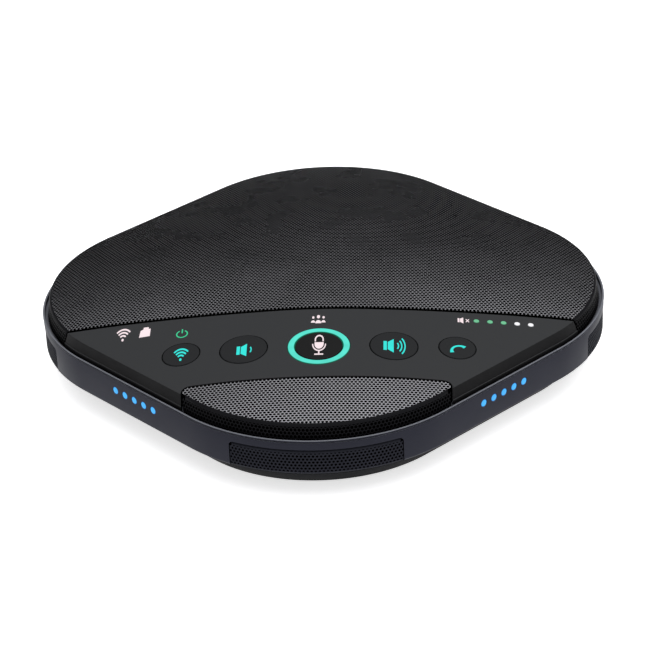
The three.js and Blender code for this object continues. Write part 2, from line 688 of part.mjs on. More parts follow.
function speakerCone() {
  const { rim, rimWidth, thickness, neckWidth, neckHeight } = CONE;
  const rimTop = SURROUND_SEAT + thickness;
  return turned(0, SPEAKER.y, [
    [COIL.inner, CONE_FOOT], [COIL.inner + neckWidth, CONE_FOOT], [rim, SURROUND_SEAT],
    [rim, rimTop], [rim - rimWidth, rimTop], [COIL.inner, CONE_FOOT + neckHeight],
    [COIL.inner, CONE_FOOT],
  ], ROUND_STEPS);
}

function dustCap() {
  const { rise, thickness, edge, shoulder, shoulderRise } = DUST_CAP;
  const radius = COIL.inner - GAP;
  const outer = [[radius, CONE_FOOT + edge], [radius * shoulder, CONE_FOOT + shoulderRise + thickness]];
  return turned(0, SPEAKER.y, [
    [0, CONE_FOOT + rise], [radius * shoulder, CONE_FOOT + shoulderRise], [radius, CONE_FOOT],
    ...outer, [0, CONE_FOOT + rise + thickness],
  ]);
}

function speakerSurround() {
  const { thickness, rollBottom, rollTop, rollHalf, lap } = SURROUND;
  const seat = SURROUND_SEAT;
  const inner = CONE.rim + GAP;
  const outer = SPEAKER.openingRadius;
  const middle = (inner + outer) / 2;
  return turned(0, SPEAKER.y, [
    [inner, seat], [middle, seat + rollBottom], [outer, seat], [outer + lap, seat],
    [outer + lap, seat + thickness], [outer + GAP, seat + thickness],
    [middle + rollHalf, seat + rollTop], [middle - rollHalf, seat + rollTop],
    [inner, seat + thickness], [inner, seat],
  ], ROUND_STEPS);
}

function frontSpeakerBasket() {
  const { y, halfLength, halfWidth, flangeThickness, canInset, canBottom, wall } = FRONT_SPEAKER;
  const hollowInset = canInset + wall;
  const flange = slab(racetrack(halfLength, halfWidth), DECK, DECK + flangeThickness, y);
  const canOutline = racetrack(halfLength - canInset, halfWidth - canInset);
  const can = slab(canOutline, canBottom, DECK + ROOT_OVERLAP, y);
  const hollowOutline = racetrack(halfLength - hollowInset, halfWidth - hollowInset);
  return flange.add(can).subtract(slab(hollowOutline, canBottom + wall, HIGH, y));
}

function frontSpeakerCone() {
  const { y, halfLength, halfWidth, canInset, wall } = FRONT_SPEAKER;
  const inset = canInset + wall + GAP;
  const top = DECK + FRONT_CONE.top;
  const outline = racetrack(halfLength - inset, halfWidth - inset);
  return slab(outline, top - FRONT_CONE.thickness, top, y);
}

// ---------------------------------------------------------------- electronics

function batteryPack() {
  const { width, depth, height, y } = BATTERY;
  const middle = BASE_FLOOR + GAP + height / 2;
  return outwardOval(0, depth / 2, height / 2, -width / 2, width / 2, y, middle);
}

function mainBoard() {
  const { halfWidth, frontY, backY, bottom, thickness } = MAIN_BOARD;
  const top = bottom + thickness;
  let board = box([-halfWidth, frontY, bottom], [halfWidth, backY, top]);
  for (const { x, y, side, height } of CHIPS) {
    const half = side / 2;
    const chip = box([x - half, y - half, top - ROOT_OVERLAP], [x + half, y + half, top + height]);
    board = board.add(chip);
  }
  return board;
}

function portBoard() {
  const { halfLength, innerInset, outerInset, top, thickness } = PORT_BOARD;
  return outwardBox(SIDES[0].heading, APOTHEM - innerInset, APOTHEM - outerInset,
    -halfLength, halfLength, top - thickness, top);
}

const SOCKET_MOUTH = WALL_FACE - GAP;

// A metal shell with an open mouth and a tongue inside.
function usbSocket() {
  const { width, height, depth, wall, backWall } = USB;
  const { usbAlong: along, height: middle } = PORTS;
  const { heading } = SIDES[0];
  const back = SOCKET_MOUTH - depth;
  const shell = outwardOval(heading, width / 2, height / 2, back, SOCKET_MOUTH, along, middle);
  const hollow = outwardOval(heading, width / 2 - wall, height / 2 - wall, back + backWall, WIDE,
    along, middle);
  const { halfWidth, halfThickness, recess } = USB_TONGUE;
  const tongue = outwardBox(heading, back + backWall - ROOT_OVERLAP, SOCKET_MOUTH - recess,
    along - halfWidth, along + halfWidth, middle - halfThickness, middle + halfThickness);
  return shell.subtract(hollow).add(tongue);
}

function audioSocket() {
  const { side, noseRadius, boreRadius, depth, noseLength, backWall } = AUDIO;
  const { height, audioAlong: along } = PORTS;
  const { heading } = SIDES[0];
  const half = side / 2;
  const back = SOCKET_MOUTH - depth;
  const noseRoot = SOCKET_MOUTH - noseLength;
  const bottom = PORT_BOARD.top + GAP;
  const body = outwardBox(heading, back, noseRoot, along - half, along + half, bottom, height + half);
  const nose = outwardRod(heading, noseRoot - ROOT_OVERLAP, SOCKET_MOUTH, along, height, noseRadius);
  const bore = outwardRod(heading, back + backWall, WIDE, along, height, boreRadius);
  const overBoard = box([-WIDE, -WIDE, bottom], [WIDE, WIDE, HIGH]);
  return body.add(nose.intersect(overBoard)).subtract(bore);
}

// ---------------------------------------------------------------- feet and fasteners

function foot(x, y) {
  const { radius, height, bevel } = FOOT;
  return turned(x, y, [
    [0, 0], [radius - bevel, 0], [radius, bevel], [radius, height], [0, height],
  ], ROUND_STEPS);
}

function baseScrew(x, y) {
  const { headRadius, headBottom, headHeight, radius, length } = SCREW;
  const { socketRadius, socketDepth, socketSides } = SCREW;
  const headTop = headBottom + headHeight;
  const head = rod(x, y, headRadius, headBottom, headTop);
  const shank = rod(x, y, radius, headTop - ROOT_OVERLAP, headTop + length, PIN_STEPS);
  const socket = rod(x, y, socketRadius, 0, headBottom + socketDepth, socketSides);
  return head.add(shank).subtract(socket);
}

// ---------------------------------------------------------------- the assembly

function part(name, solid, look) {
  const mesh = new THREE.Mesh(geometryOf(solid), new THREE.MeshStandardMaterial(LOOKS[look]));
  mesh.name = name;
  return mesh;
}

function casings() {
  const group = new THREE.Group();
  group.add(part('side_housing', sideHousing(), 'housing'));
  group.add(part('base_shell', baseShell(), 'black'));
  group.add(part('rear_grille', rearGrille(), 'grille'));
  group.add(part('front_grille', frontGrille(), 'grille'));
  group.add(part('control_panel', controlPanel(), 'panel'));
  group.add(part('chassis_plate', chassisPlate(), 'black'));
  return group;
}

function controls() {
  const group = new THREE.Group();
  for (const spec of BUTTONS) {
    group.add(part(`${spec.name}_button`, panelButton(spec), 'button'));
    group.add(part(`${spec.name}_switch`, keySwitch(spec.x, spec.y), 'black'));
  }
  group.add(part('mute_button', muteButton(), 'button'));
  group.add(part('mute_switch', keySwitch(MUTE.x, MUTE.y), 'black'));
  group.add(part('mute_light_ring', muteLightRing(), 'glow'));
  group.add(part('level_light_guide', levelLightGuide(), 'clear'));
  group.add(part('status_light_guide', statusLightGuide(), 'clear'));
  group.add(part('key_board', keyBoard(), 'board'));
  return group;
}

function perimeter() {
  const group = new THREE.Group();
  for (const { name, heading } of CORNERS) {
    group.add(part(`mic_grille_${name}`, micGrille(heading), 'black'));
    group.add(part(`mic_boot_${name}`, micBoot(heading), 'rubber'));
    group.add(part(`mic_capsule_${name}`, micCapsule(heading), 'steel'));
  }
  for (const { name, heading } of SIDES) {
    group.add(part(`light_guide_${name}`, sideLightGuide(heading), 'clear'));
  }
  return group;
}

function speakers() {
  const group = new THREE.Group();
  group.add(part('speaker_basket', speakerBasket(), 'steel'));
  group.add(part('speaker_magnet', speakerMagnet(), 'steel'));
  group.add(part('voice_coil', voiceCoil(), 'copper'));
  group.add(part('speaker_cone', speakerCone(), 'paper'));
  group.add(part('dust_cap', dustCap(), 'paper'));
  group.add(part('speaker_surround', speakerSurround(), 'rubber'));
  group.add(part('front_speaker_basket', frontSpeakerBasket(), 'steel'));
  group.add(part('front_speaker_cone', frontSpeakerCone(), 'paper'));
  return group;
}

function insides() {
  const group = new THREE.Group();
  group.add(part('battery_pack', batteryPack(), 'battery'));
  group.add(part('main_board', mainBoard(), 'board'));
  group.add(part('port_board', portBoard(), 'board'));
  group.add(part('usb_socket', usbSocket(), 'steel'));
  group.add(part('audio_socket', audioSocket(), 'black'));
  return group;
}

function underside() {
  const group = new THREE.Group();
  for (const { name, x, y } of footPlaces()) {
    group.add(part(`foot_${name}`, foot(x, y), 'rubber'));
  }
  for (const { name, x, y } of screwPlaces()) {
    group.add(part(`base_screw_${name}`, baseScrew(x, y), 'steel'));
  }
  return group;
}

const speakerphone = new THREE.Group();
speakerphone.add(casings(), controls(), perimeter(), speakers(), insides(), underside());

export default speakerphone;
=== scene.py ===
"""Looks of the conference speakerphone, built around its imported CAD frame. Lengths are millimetres
until a mesh is made, then metres. The user sits on the -Y side; the corners lie on the axes."""

import math

import bmesh
import bpy
import numpy as np
from mathutils import Matrix, Vector
from mathutils.geometry import delaunay_2d_cdt

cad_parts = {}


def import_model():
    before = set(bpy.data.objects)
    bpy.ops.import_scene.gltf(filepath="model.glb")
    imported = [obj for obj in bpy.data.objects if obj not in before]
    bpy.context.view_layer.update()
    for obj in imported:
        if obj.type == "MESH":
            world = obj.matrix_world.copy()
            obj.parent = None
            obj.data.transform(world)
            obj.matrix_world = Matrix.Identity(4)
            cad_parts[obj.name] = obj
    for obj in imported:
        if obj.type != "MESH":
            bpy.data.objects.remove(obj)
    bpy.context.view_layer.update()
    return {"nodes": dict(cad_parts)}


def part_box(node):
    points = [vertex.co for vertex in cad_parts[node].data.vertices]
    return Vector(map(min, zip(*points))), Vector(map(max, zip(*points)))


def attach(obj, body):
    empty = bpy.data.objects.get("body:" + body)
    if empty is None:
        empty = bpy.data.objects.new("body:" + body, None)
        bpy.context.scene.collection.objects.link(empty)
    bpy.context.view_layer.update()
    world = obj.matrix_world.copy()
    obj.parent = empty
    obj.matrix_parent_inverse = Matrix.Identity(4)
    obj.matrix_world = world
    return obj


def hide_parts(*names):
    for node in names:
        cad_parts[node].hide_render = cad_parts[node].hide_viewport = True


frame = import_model()
MM = 0.001


def box_mm(node):
    """Lowest and highest corner of a CAD node, in millimetres."""
    low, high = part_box(node)
    return low / MM, high / MM


def round_place(node):
    """Middle of a round CAD node, seen from above, and its radius."""
    low, high = box_mm(node)
    return (low.x + high.x) / 2, (low.y + high.y) / 2, (high.x - low.x) / 2


# ------------------------------------------------------------ sizes, from the frame if it has them

HOUSING_LOW, HOUSING_HIGH = box_mm("side_housing")
BASE_LOW, BASE_HIGH = box_mm("base_shell")
REAR_LOW, REAR_HIGH = box_mm("rear_grille")
FRONT_HIGH = box_mm("front_grille")[1]

APOTHEM = 100.6  # middle to each straight side, at the lip
CORNER_RADIUS = (math.sqrt(2) * APOTHEM - HOUSING_HIGH.x) / (math.sqrt(2) - 1)
CORNER_CENTRE = HOUSING_HIGH.x - CORNER_RADIUS
CORNER_STEPS = 40
LIP_TOP = HOUSING_HIGH.z
WALL_BOTTOM = HOUSING_LOW.z
WALL_BOTTOM_INSET = 2.9
WALL_TURN = 13.0  # below this height the wall turns inwards
WALL_INSET = 0.15
WALL_THICKNESS = 2.0
GAP = 0.3

SKIRT_BOTTOM = REAR_LOW.z
SKIRT_INSET = 1.8
FOLD_INSET = 3.2
FOLD_HEIGHT = 31.9
REAR_PROUD = 0.3  # the rear grille stands above the panel's face, the front one lies below it
FRONT_SINK = 0.1
DOME_RISE = REAR_HIGH.z - REAR_PROUD - FOLD_HEIGHT
PANEL_BACK = box_mm("control_panel")[1].y
PANEL_THICKNESS = 1.8
FRONT_SEAM = 0.7
# Half width, back and corner radius of the panel's opening for the front grille.
NOTCH = (FRONT_HIGH.x + FRONT_SEAM, FRONT_HIGH.y + FRONT_SEAM, 3.35)
STEP_HEIGHT = 27.6

KEYS = ("wireless", "volume_down", "volume_up", "call")
FLANGE_OVERHANG = 1.0
LIGHT_COUNT = 5
SIDES = {"back_right": 45, "back_left": 135, "front_left": 225, "front_right": 315}
CORNERS = {"right": 0, "back": 90, "left": 180, "front": 270}

HOLE_PITCH = 1.5
HOLE_RADIUS = 0.63

# ------------------------------------------------------------ the outline and the dome


def outline(inset, steps=CORNER_STEPS):
    """The rounded square drawn in by inset, counter-clockwise from the corner on +X."""
    points = []
    for corner in range(4):
        heading = corner * math.pi / 2
        for step in range(steps + 1):
            angle = heading + (step / steps - 0.5) * math.pi / 2
            x = CORNER_CENTRE * math.cos(heading) + (CORNER_RADIUS - inset) * math.cos(angle)
            y = CORNER_CENTRE * math.sin(heading) + (CORNER_RADIUS - inset) * math.sin(angle)
            points.append((x, y))
    return points


def fold_reach(angle):
    """Distance from the middle to the fold, at each angle in radians."""
    angle = np.asarray(angle)
    off = np.abs(angle - np.round(angle / (math.pi / 2)) * math.pi / 2)
    radius = CORNER_RADIUS - FOLD_INSET
    diagonal = radius / math.sqrt(2)
    straight = (APOTHEM - FOLD_INSET) / np.cos(math.pi / 4 - off)
    across = CORNER_CENTRE * np.sin(off)
    rounded = CORNER_CENTRE * np.cos(off) + np.sqrt(np.maximum(radius**2 - across**2, 0))
    return np.where(off > math.atan2(diagonal, CORNER_CENTRE + diagonal), straight, rounded)


def dome(x, y):
    """Height of the panel's face over (x, y)."""
    share = np.hypot(x, y) / fold_reach(np.arctan2(y, x))
    return FOLD_HEIGHT + DOME_RISE * (1 - share**2)


def wall_inset(height):
    share = max(0.0, (WALL_TURN - height) / (WALL_TURN - WALL_BOTTOM))
    return WALL_INSET + share**1.6 * (WALL_BOTTOM_INSET - WALL_INSET)


def outward(heading, distance, across, height):
    """A point at a distance from the middle along a heading in degrees, then across to its left."""
    a = math.radians(heading)
    return (
        distance * math.cos(a) - across * math.sin(a),
        distance * math.sin(a) + across * math.cos(a),
        height,
    )


# ------------------------------------------------------------ materials


class Nodes:
    """A material's node tree, with short calls to add and link nodes."""

    def __init__(self, name):
        self.material = bpy.data.materials.new(name)
        self.material.use_nodes = True
        self.tree = self.material.node_tree
        self.shader = self.tree.nodes["Principled BSDF"]
        self.coordinates = self.add("ShaderNodeTexCoord").outputs["Object"]

    def add(self, kind, values=None, **settings):
        node = self.tree.nodes.new(kind)
        for key, value in settings.items():
            setattr(node, key, value)
        for key, value in (values or {}).items():
            node.inputs[key].default_value = value
        return node

    def link(self, output, node, socket):
        self.tree.links.new(output, node.inputs[socket])

    def noise(self, size, detail=2.0, stretch=(1, 1, 1)):
        """Noise whose grains are about size millimetres across."""
        mapping = self.add("ShaderNodeMapping", {"Scale": stretch})
        self.link(self.coordinates, mapping, "Vector")
        node = self.add("ShaderNodeTexNoise", {"Scale": 1 / (size * MM), "Detail": detail})
        self.link(mapping.outputs[0], node, "Vector")
        return node.outputs[0]

    def spread(self, output, low, high, start=0.3, end=0.7):
        """The output moved from start..end to low..high."""
        node = self.add(
            "ShaderNodeMapRange",
            {"From Min": start, "From Max": end, "To Min": low, "To Max": high},
        )
        self.link(output, node, "Value")
        return node.outputs[0]

    def tint(self, output, color, low, high):
        """The colour made darker or lighter by the output."""
        factor = self.spread(output, low, high)
        node = self.add("ShaderNodeMix", data_type="RGBA", blend_type="MULTIPLY")
        node.inputs["Factor"].default_value = 1.0
        node.inputs["A"].default_value = (*color, 1)
        self.link(factor, node, "B")
        return node.outputs["Result"]

    def steep_mix(self, output, color):
        """Light and shade painted by facing: the colour on faces that stand upright, and the output
        on the others.
        """
        split = self.add("ShaderNodeSeparateXYZ")
        self.link(self.add("ShaderNodeNewGeometry").outputs["Normal"], split, 0)
        node = self.add("ShaderNodeMix", data_type="RGBA")
        self.link(self.spread(split.outputs["Z"], 0.0, 1.0, 0.45, 0.75), node, "Factor")
        node.inputs["A"].default_value = (*color, 1)
        self.link(output, node, "B")
        return node.outputs["Result"]

    def bump(self, output, strength, depth):
        node = self.add("ShaderNodeBump", {"Strength": strength, "Distance": depth * MM})
        self.link(output, node, "Height")
        self.link(node.outputs[0], self.shader, "Normal")


def linear(r, g, b):
    """A screen colour from 0 to 255 as the shader's linear colour."""
    return tuple(
        c / 255 / 12.92 if c / 255 <= 0.04045 else ((c / 255 + 0.055) / 1.055) ** 2.4
        for c in (r, g, b)
    )


def finish(name, color, roughness, grain=0.25, relief=0.02, specular=0.5, metallic=0.0, **more):
    """A moulded, painted or turned surface: fine relief, faint blotches, uneven gloss. With a side
    colour, upright faces take it and faces looking up keep the main colour: painted shade and
    painted highlight on what is one paint, as the sides look far darker than the top does."""
    look = Nodes(name)
    shader = look.shader
    blotches = look.noise(more.get("blotch", 14.0), 3.0)
    fine = look.noise(grain, 2.0, more.get("stretch", (1, 1, 1)))
    vary = more.get("vary", 0.06)
    body = look.tint(blotches, linear(*color), 1 - vary, 1 + vary)
    if "steep" in more:
        body = look.steep_mix(body, linear(*more["steep"]))
    look.link(body, shader, "Base Color")
    uneven = look.spread(blotches, roughness * 0.93, roughness * 1.07)
    look.link(uneven, shader, "Roughness")
    look.bump(fine, more.get("strength", 0.35), relief)
    shader.inputs["Specular IOR Level"].default_value = specular
    shader.inputs["Metallic"].default_value = metallic
    return look.material


def glowing(name, core, edge, strength, spots=0.0):
    """A lit diffuser: brighter in the middle of its face, with the edge colour at its rim."""
    look = Nodes(name)
    glow = look.add("ShaderNodeAttribute", attribute_name="glow").outputs["Fac"]
    ramp = look.add("ShaderNodeValToRGB")
    ramp.color_ramp.elements[0].position = 0.12
    ramp.color_ramp.elements[0].color = (*linear(*edge), 1)
    ramp.color_ramp.elements[1].position = 0.35
    ramp.color_ramp.elements[1].color = (*linear(*core), 1)
    look.link(glow, ramp, "Fac")
    cloud = look.noise(5.0, 1.0)
    uneven = look.spread(cloud, 1 - spots, 1 + spots)
    mix = look.add("ShaderNodeMix", data_type="RGBA", blend_type="MULTIPLY")
    mix.inputs["Factor"].default_value = 1.0
    look.link(ramp.outputs["Color"], mix, "A")
    look.link(uneven, mix, "B")
    look.link(mix.outputs["Result"], look.shader, "Emission Color")
    look.shader.inputs["Emission Strength"].default_value = strength
    look.shader.inputs["Base Color"].default_value = (*(c * 0.1 for c in linear(*edge)), 1)
    look.shader.inputs["Specular IOR Level"].default_value = 0.15
    look.link(look.spread(cloud, 0.45, 0.55), look.shader, "Roughness")
    return look.material


# The housing is one paint: its lip and upward faces are painted lighter (painted highlight) and its
# upright walls darker (painted shade).
HOUSING = finish(
    "housing satin paint", (112, 114, 120), 0.42, grain=0.12, relief=0.006, specular=0.06,
    vary=0.04, steep=(37, 38, 47),
)
PLASTIC = finish("black case plastic", (24, 24, 26), 0.6, grain=0.3, relief=0.03, specular=0.02)
# The panel is one paint: its upright bevel is painted darker than its face (painted shade).
PANEL = finish(
    "panel soft-touch paint", (49, 50, 51), 0.6, grain=0.1, relief=0.006, specular=0.1,
    vary=0.02, steep=(16, 16, 17),
)
KEY = finish(
    "key plastic", (35, 36, 37), 0.55, grain=0.1, relief=0.006, specular=0.08,
    vary=0.03,
)
MUTE_KEY = finish("mute key plastic", (27, 27, 27), 0.5, grain=0.1, relief=0.006, specular=0.05)
SHEET = finish(
    "grille painted steel", (152, 152, 155), 0.28, grain=2.5, relief=0.006, metallic=1.0,
    vary=0.03,
)
# The rims and folds are the same painted steel as the grille's face, given a dark matt colour
# instead: painted shade.
SHADED_SHEET_RIM = finish(
    "grille rim painted steel, darkened as painted shade", (22, 22, 24), 0.5, grain=0.08, relief=0.004,
    specular=0.03,
)
MIC_SHEET = finish(
    "microphone grille paint", (36, 37, 43), 0.6, grain=0.1, relief=0.005,
    specular=0.02,
)
CARRIER = finish("grille carrier plastic", (3, 3, 3), 0.95, specular=0.0)
RUBBER = finish("rubber", (26, 26, 26), 0.85, grain=0.4, relief=0.05, specular=0.3)
STEEL = finish(
    "bare steel", (168, 171, 176), 0.35, grain=0.2, relief=0.004, metallic=0.95,
    stretch=(1, 1, 0.1),
)
DARK_STEEL = finish(
    "blackened screw", (70, 70, 72), 0.35, grain=0.15, relief=0.006,
    metallic=0.8,
)
BOARD = finish(
    "circuit board lacquer", (26, 84, 52), 0.35, grain=1.6, relief=0.03, vary=0.2,
    blotch=3.0,
)
PAPER = finish("cone paper", (38, 35, 31), 0.9, grain=0.5, relief=0.06, stretch=(1, 1, 4))
COPPER = finish(
    "coil winding", (184, 112, 58), 0.35, grain=0.25, relief=0.05, metallic=0.9,
    stretch=(0.05, 0.05, 1),
)
WRAP = finish("battery wrap", (63, 111, 174), 0.4, grain=2.5, relief=0.05, blotch=20.0)
CLEAR = finish("light guide acrylic", (150, 170, 180), 0.2, grain=0.6, relief=0.01, vary=0.03)

RING_GLOW = glowing("ring diffuser", (86, 226, 206), (10, 96, 72), 1.0, 0.08)
BLUE_GLOW = glowing("side light diffuser", (72, 182, 250), (16, 84, 170), 1.0, 0.06)
GREEN_GLOW = glowing("level light lit", (112, 190, 146), (60, 120, 90), 1.0, 0.05)
WHITE_GLOW = glowing("level light idle", (250, 250, 252), (150, 150, 154), 1.0, 0.04)
SIGN_CYAN = glowing("key sign", (46, 222, 212), (46, 222, 212), 1.0, 0.05)
SIGN_GREEN = glowing("power sign", (56, 196, 140), (56, 196, 140), 1.0, 0.05)
SIGN_WHITE = glowing("status sign", (244, 226, 230), (244, 226, 230), 0.95, 0.03)

# ------------------------------------------------------------ mesh helpers


def mesh_of(name, points, faces):
    """A mesh in metres from points in millimetres."""
    mesh = bpy.data.meshes.new(name)
    mesh.from_pydata([tuple(c * MM for c in point) for point in points], [], faces)
    return mesh


def linked(name, data):
    """A new object in the scene."""
    obj = bpy.data.objects.new(name, data)
    bpy.context.scene.collection.objects.link(obj)
    return obj


def smooth(mesh, crease):
    """Smooth shading, but for edges sharper than crease degrees."""
    mesh.shade_smooth()
    mesh.set_sharp_from_angle(angle=math.radians(crease))


def coat(mesh, material, crease):
    mesh.materials.clear()
    mesh.materials.append(material)
    smooth(mesh, crease)


def piece(name, points, faces, material, slot, body="root", replaces=(), crease=35, glow=None):
    """A mesh piece from points in millimetres, smooth but for edges sharper than crease degrees."""
    mesh = mesh_of(name, points, faces)
    if glow is not None:
        mesh.attributes.new("glow", "FLOAT", "POINT").data.foreach_set("value", glow)
    mesh.validate()
    tidy(mesh)
    obj = linked(name, mesh)
    coat(mesh, material, crease)
    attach(obj, body)
    if replaces:
        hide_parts(*replaces)
    return obj


def tidy(mesh, merge=0.002):
    """Joins points that meet, drops faces with no area and turns all faces outwards."""
    bm = bmesh.new()
    bm.from_mesh(mesh)
    bmesh.ops.remove_doubles(bm, verts=bm.verts, dist=merge * MM)
    bmesh.ops.dissolve_degenerate(bm, edges=bm.edges, dist=merge * MM)
    bmesh.ops.recalc_face_normals(bm, faces=bm.faces)
    bm.to_mesh(mesh)
    bm.free()


def rounded(profile, steps=4):
    """A profile of (a, b, radius) corners, closed, as (a, b) points with the corners rounded."""
    points = []
    count = len(profile)
    for index, (a, b, radius) in enumerate(profile):
        here = Vector((a, b))
        if radius == 0:
            points.append((a, b))
            continue
        before = (Vector(profile[index - 1][:2]) - here).normalized()
        after = (Vector(profile[(index + 1) % count][:2]) - here).normalized()
        half = before.angle(after) / 2
        reach = radius / math.tan(half)
        centre = here + (before + after).normalized() * (radius / math.sin(half))
        start = here + before * reach - centre
        end = here + after * reach - centre
        turn = start.angle_signed(end)
        for step in range(steps + 1):
            spun = Matrix.Rotation(-turn * step / steps, 2) @ start
            points.append(tuple(centre + spun))
    return points


def quads(here, there, count, closed=True):
    """Quads between two rings of count points, from the index at which each ring starts."""
    steps = range(count if closed else count - 1)
    return [(here + s, here + (s + 1) % count, there + (s + 1) % count, there + s) for s in steps]


def hoop(rings):
    """Points and quads of rings that follow one another and close on the first."""
    points = [point for ring in rings for point in ring]
    count = len(rings[0])
    faces = []
    for level in range(len(rings)):
        faces += quads(level * count, (level + 1) % len(rings) * count, count)
    return points, faces


def turned(middle, profile, steps=64, height=lambda x, y: 0.0):
    """Rings about the upright axis through middle, from (radius, height) points. The function
    height lifts each point to follow a surface."""
    rings = []
    for radius, lift in profile:
        ring = []
        for step in range(steps):
            angle = 2 * math.pi * step / steps
            x = middle[0] + radius * math.cos(angle)
            y = middle[1] + radius * math.sin(angle)
            ring.append((x, y, lift + float(height(x, y))))
        rings.append(ring)
    return rings


def band(rings):
    """Quads along rings; the first and last ring are each closed with one face."""
    points = [point for ring in rings for point in ring]
    count = len(rings[0])
    faces = []
    for level in range(len(rings) - 1):
        faces += quads(level * count, (level + 1) * count, count)
    last = (len(rings) - 1) * count
    faces.append(tuple(reversed(range(count))))
    faces.append(tuple(range(last, last + count)))
    return points, faces


def join(*meshes):
    """Several (points, faces) as one."""
    points, faces = [], []
    for more_points, more_faces in meshes:
        start = len(points)
        points += list(more_points)
        faces += [tuple(start + i for i in face) for face in more_faces]
    return points, faces


def cut(obj, cutter_mesh, crease=30):
    """Takes the closed bodies of (points, faces) out of obj."""
    mesh = mesh_of("cutter", *cutter_mesh)
    tidy(mesh)
    cutter = linked("cutter", mesh)
    modifier = obj.modifiers.new("cut", "BOOLEAN")
    modifier.operation = "DIFFERENCE"
    modifier.solver = "EXACT"
    modifier.object = cutter
    bpy.context.view_layer.update()
    evaluated = obj.evaluated_get(bpy.context.evaluated_depsgraph_get())
    result = bpy.data.meshes.new_from_object(evaluated)
    obj.modifiers.clear()
    result.name = obj.data.name
    obj.data = result
    bpy.data.objects.remove(cutter)
    smooth(obj.data, crease)


def through(heading, near, far, shape):
    """A closed body pushed outwards through a wall; shape is a list of (across, height)."""
    return band([[outward(heading, distance, a, h) for a, h in shape] for distance in (near, far)])


def circle(x, y, radius, steps=32):
    turns = [2 * math.pi * step / steps for step in range(steps)]
    return [(x + radius * math.cos(t), y + radius * math.sin(t)) for t in turns]


def window_shape(half_width, bottom, top, radius, steps=6):
    """An upright window with a square foot and a rounded top, counter-clockwise."""
    points = [(-half_width, bottom), (half_width, bottom)]
    for side, start in ((1, 0), (-1, 90)):
        for step in range(steps + 1):
            angle = math.radians(start + 90 * step / steps)
            x = side * (half_width - radius) + radius * math.cos(angle)
            points.append((x, top - radius + radius * math.sin(angle)))
    return points


def racetrack(x, y, half_width, half_height, steps=10):
    reach = half_width - half_height
    points = []
    for side, start in ((1, -90), (-1, 90)):
        for step in range(steps + 1):
            angle = math.radians(start + 180 * step / steps)
            px = x + side * reach + half_height * math.cos(angle)
            points.append((px, y + half_height * math.sin(angle)))
    return points


# ------------------------------------------------------------ plates that follow the dome


def side_of(a, b):
    """The unit vector to the right of the way from a to b."""
    dx, dy = b[0] - a[0], b[1] - a[1]
    length = math.hypot(dx, dy)
    return dy / length, -dx / length


def shifted(loop, amounts):
    """The loop with each edge moved to its right by its amount; corners stay mitred."""
    count = len(loop)
    result = []
    for i in range(count):
        n0 = side_of(loop[i - 1], loop[i])
        n1 = side_of(loop[i], loop[(i + 1) % count])
        a0, a1 = amounts[i - 1], amounts[i]
        det = n0[0] * n1[1] - n0[1] * n1[0]
        if abs(det) < 0.02:
            middle = (a0 + a1) / 2
            vx, vy = n0[0] * middle, n0[1] * middle
        else:
            vx = (a0 * n1[1] - a1 * n0[1]) / det
            vy = (n0[0] * a1 - n1[0] * a0) / det
        result.append((loop[i][0] + vx, loop[i][1] + vy))
    return result


def inside(loop, x, y):
    hit = False
    for i, (x1, y1) in enumerate(loop):
        x0, y0 = loop[i - 1]
        if (y0 > y) != (y1 > y) and x < x0 + (y - y0) * (x1 - x0) / (y1 - y0):
            hit = not hit
    return hit


def nearest(loop, x, y):
    points = np.array(loop)
    return np.hypot(points[:, 0] - x, points[:, 1] - y).min()


def filled(outer, holes, spacing):
    """Flat triangles between the loops: (points, triangles), the loops' own points first."""
    points = list(outer) + [p for hole in holes for p in hole]
    edges = []
    start = 0
    for loop in (outer, *holes):
        edges += [(start + i, start + (i + 1) % len(loop)) for i in range(len(loop))]
        start += len(loop)
    low = np.array(outer).min(axis=0)
    high = np.array(outer).max(axis=0)
    rows = int((high[1] - low[1]) / (spacing * 0.866)) + 1
    columns = int((high[0] - low[0]) / spacing) + 2
    for row in range(1, rows):
        for column in range(columns):
            x = low[0] + (column + row % 2 / 2) * spacing
            y = low[1] + row * spacing * 0.866
            clear = all(nearest(loop, x, y) > spacing * 0.45 for loop in (outer, *holes))
            if clear and inside(outer, x, y) and not any(inside(hole, x, y) for hole in holes):
                points.append((x, y))
    flat = [Vector(p) for p in points]
    result = delaunay_2d_cdt(flat, edges, [], 1, 1e-6)
    verts, triangles, origins = result[0], result[2], result[3]
    first = [origin[0] for origin in origins]
    kept = []
    for triangle in triangles:
        middle = sum((verts[i] for i in triangle), Vector((0, 0))) / 3
        if not any(inside(hole, middle.x, middle.y) for hole in holes):
            kept.append(tuple(first[i] for i in triangle))
    return points, kept


def stitched(loops, spacing, top, bottom):
    """A plate: each loop is a list of rings of 3D points from its top edge to its bottom edge; top
    and bottom are the heights of the plate's two faces."""
    flat, triangles = filled(
        [p[:2] for p in loops[0][0]], [[p[:2] for p in rings[0]] for rings in loops[1:]], spacing
    )
    rim = sum(len(rings[0]) for rings in loops)
    points = [point for rings in loops for point in rings[0]]
    points += [(x, y, float(top(x, y))) for x, y in flat[rim:]]
    faces = list(triangles)
    under = len(points)
    points += [point for rings in loops for point in rings[-1]]
    points += [(x, y, float(bottom(x, y))) for x, y in flat[rim:]]
    faces += [tuple(under + i for i in reversed(triangle)) for triangle in triangles]
    start = 0
    for rings in loops:
        count = len(rings[0])
        levels = [start]
        for ring in rings[1:-1]:
            levels.append(len(points))
            points += ring
        levels.append(under + start)
        for here, there in zip(levels, levels[1:]):
            faces += quads(here, there, count)
        start += count
    return points, faces


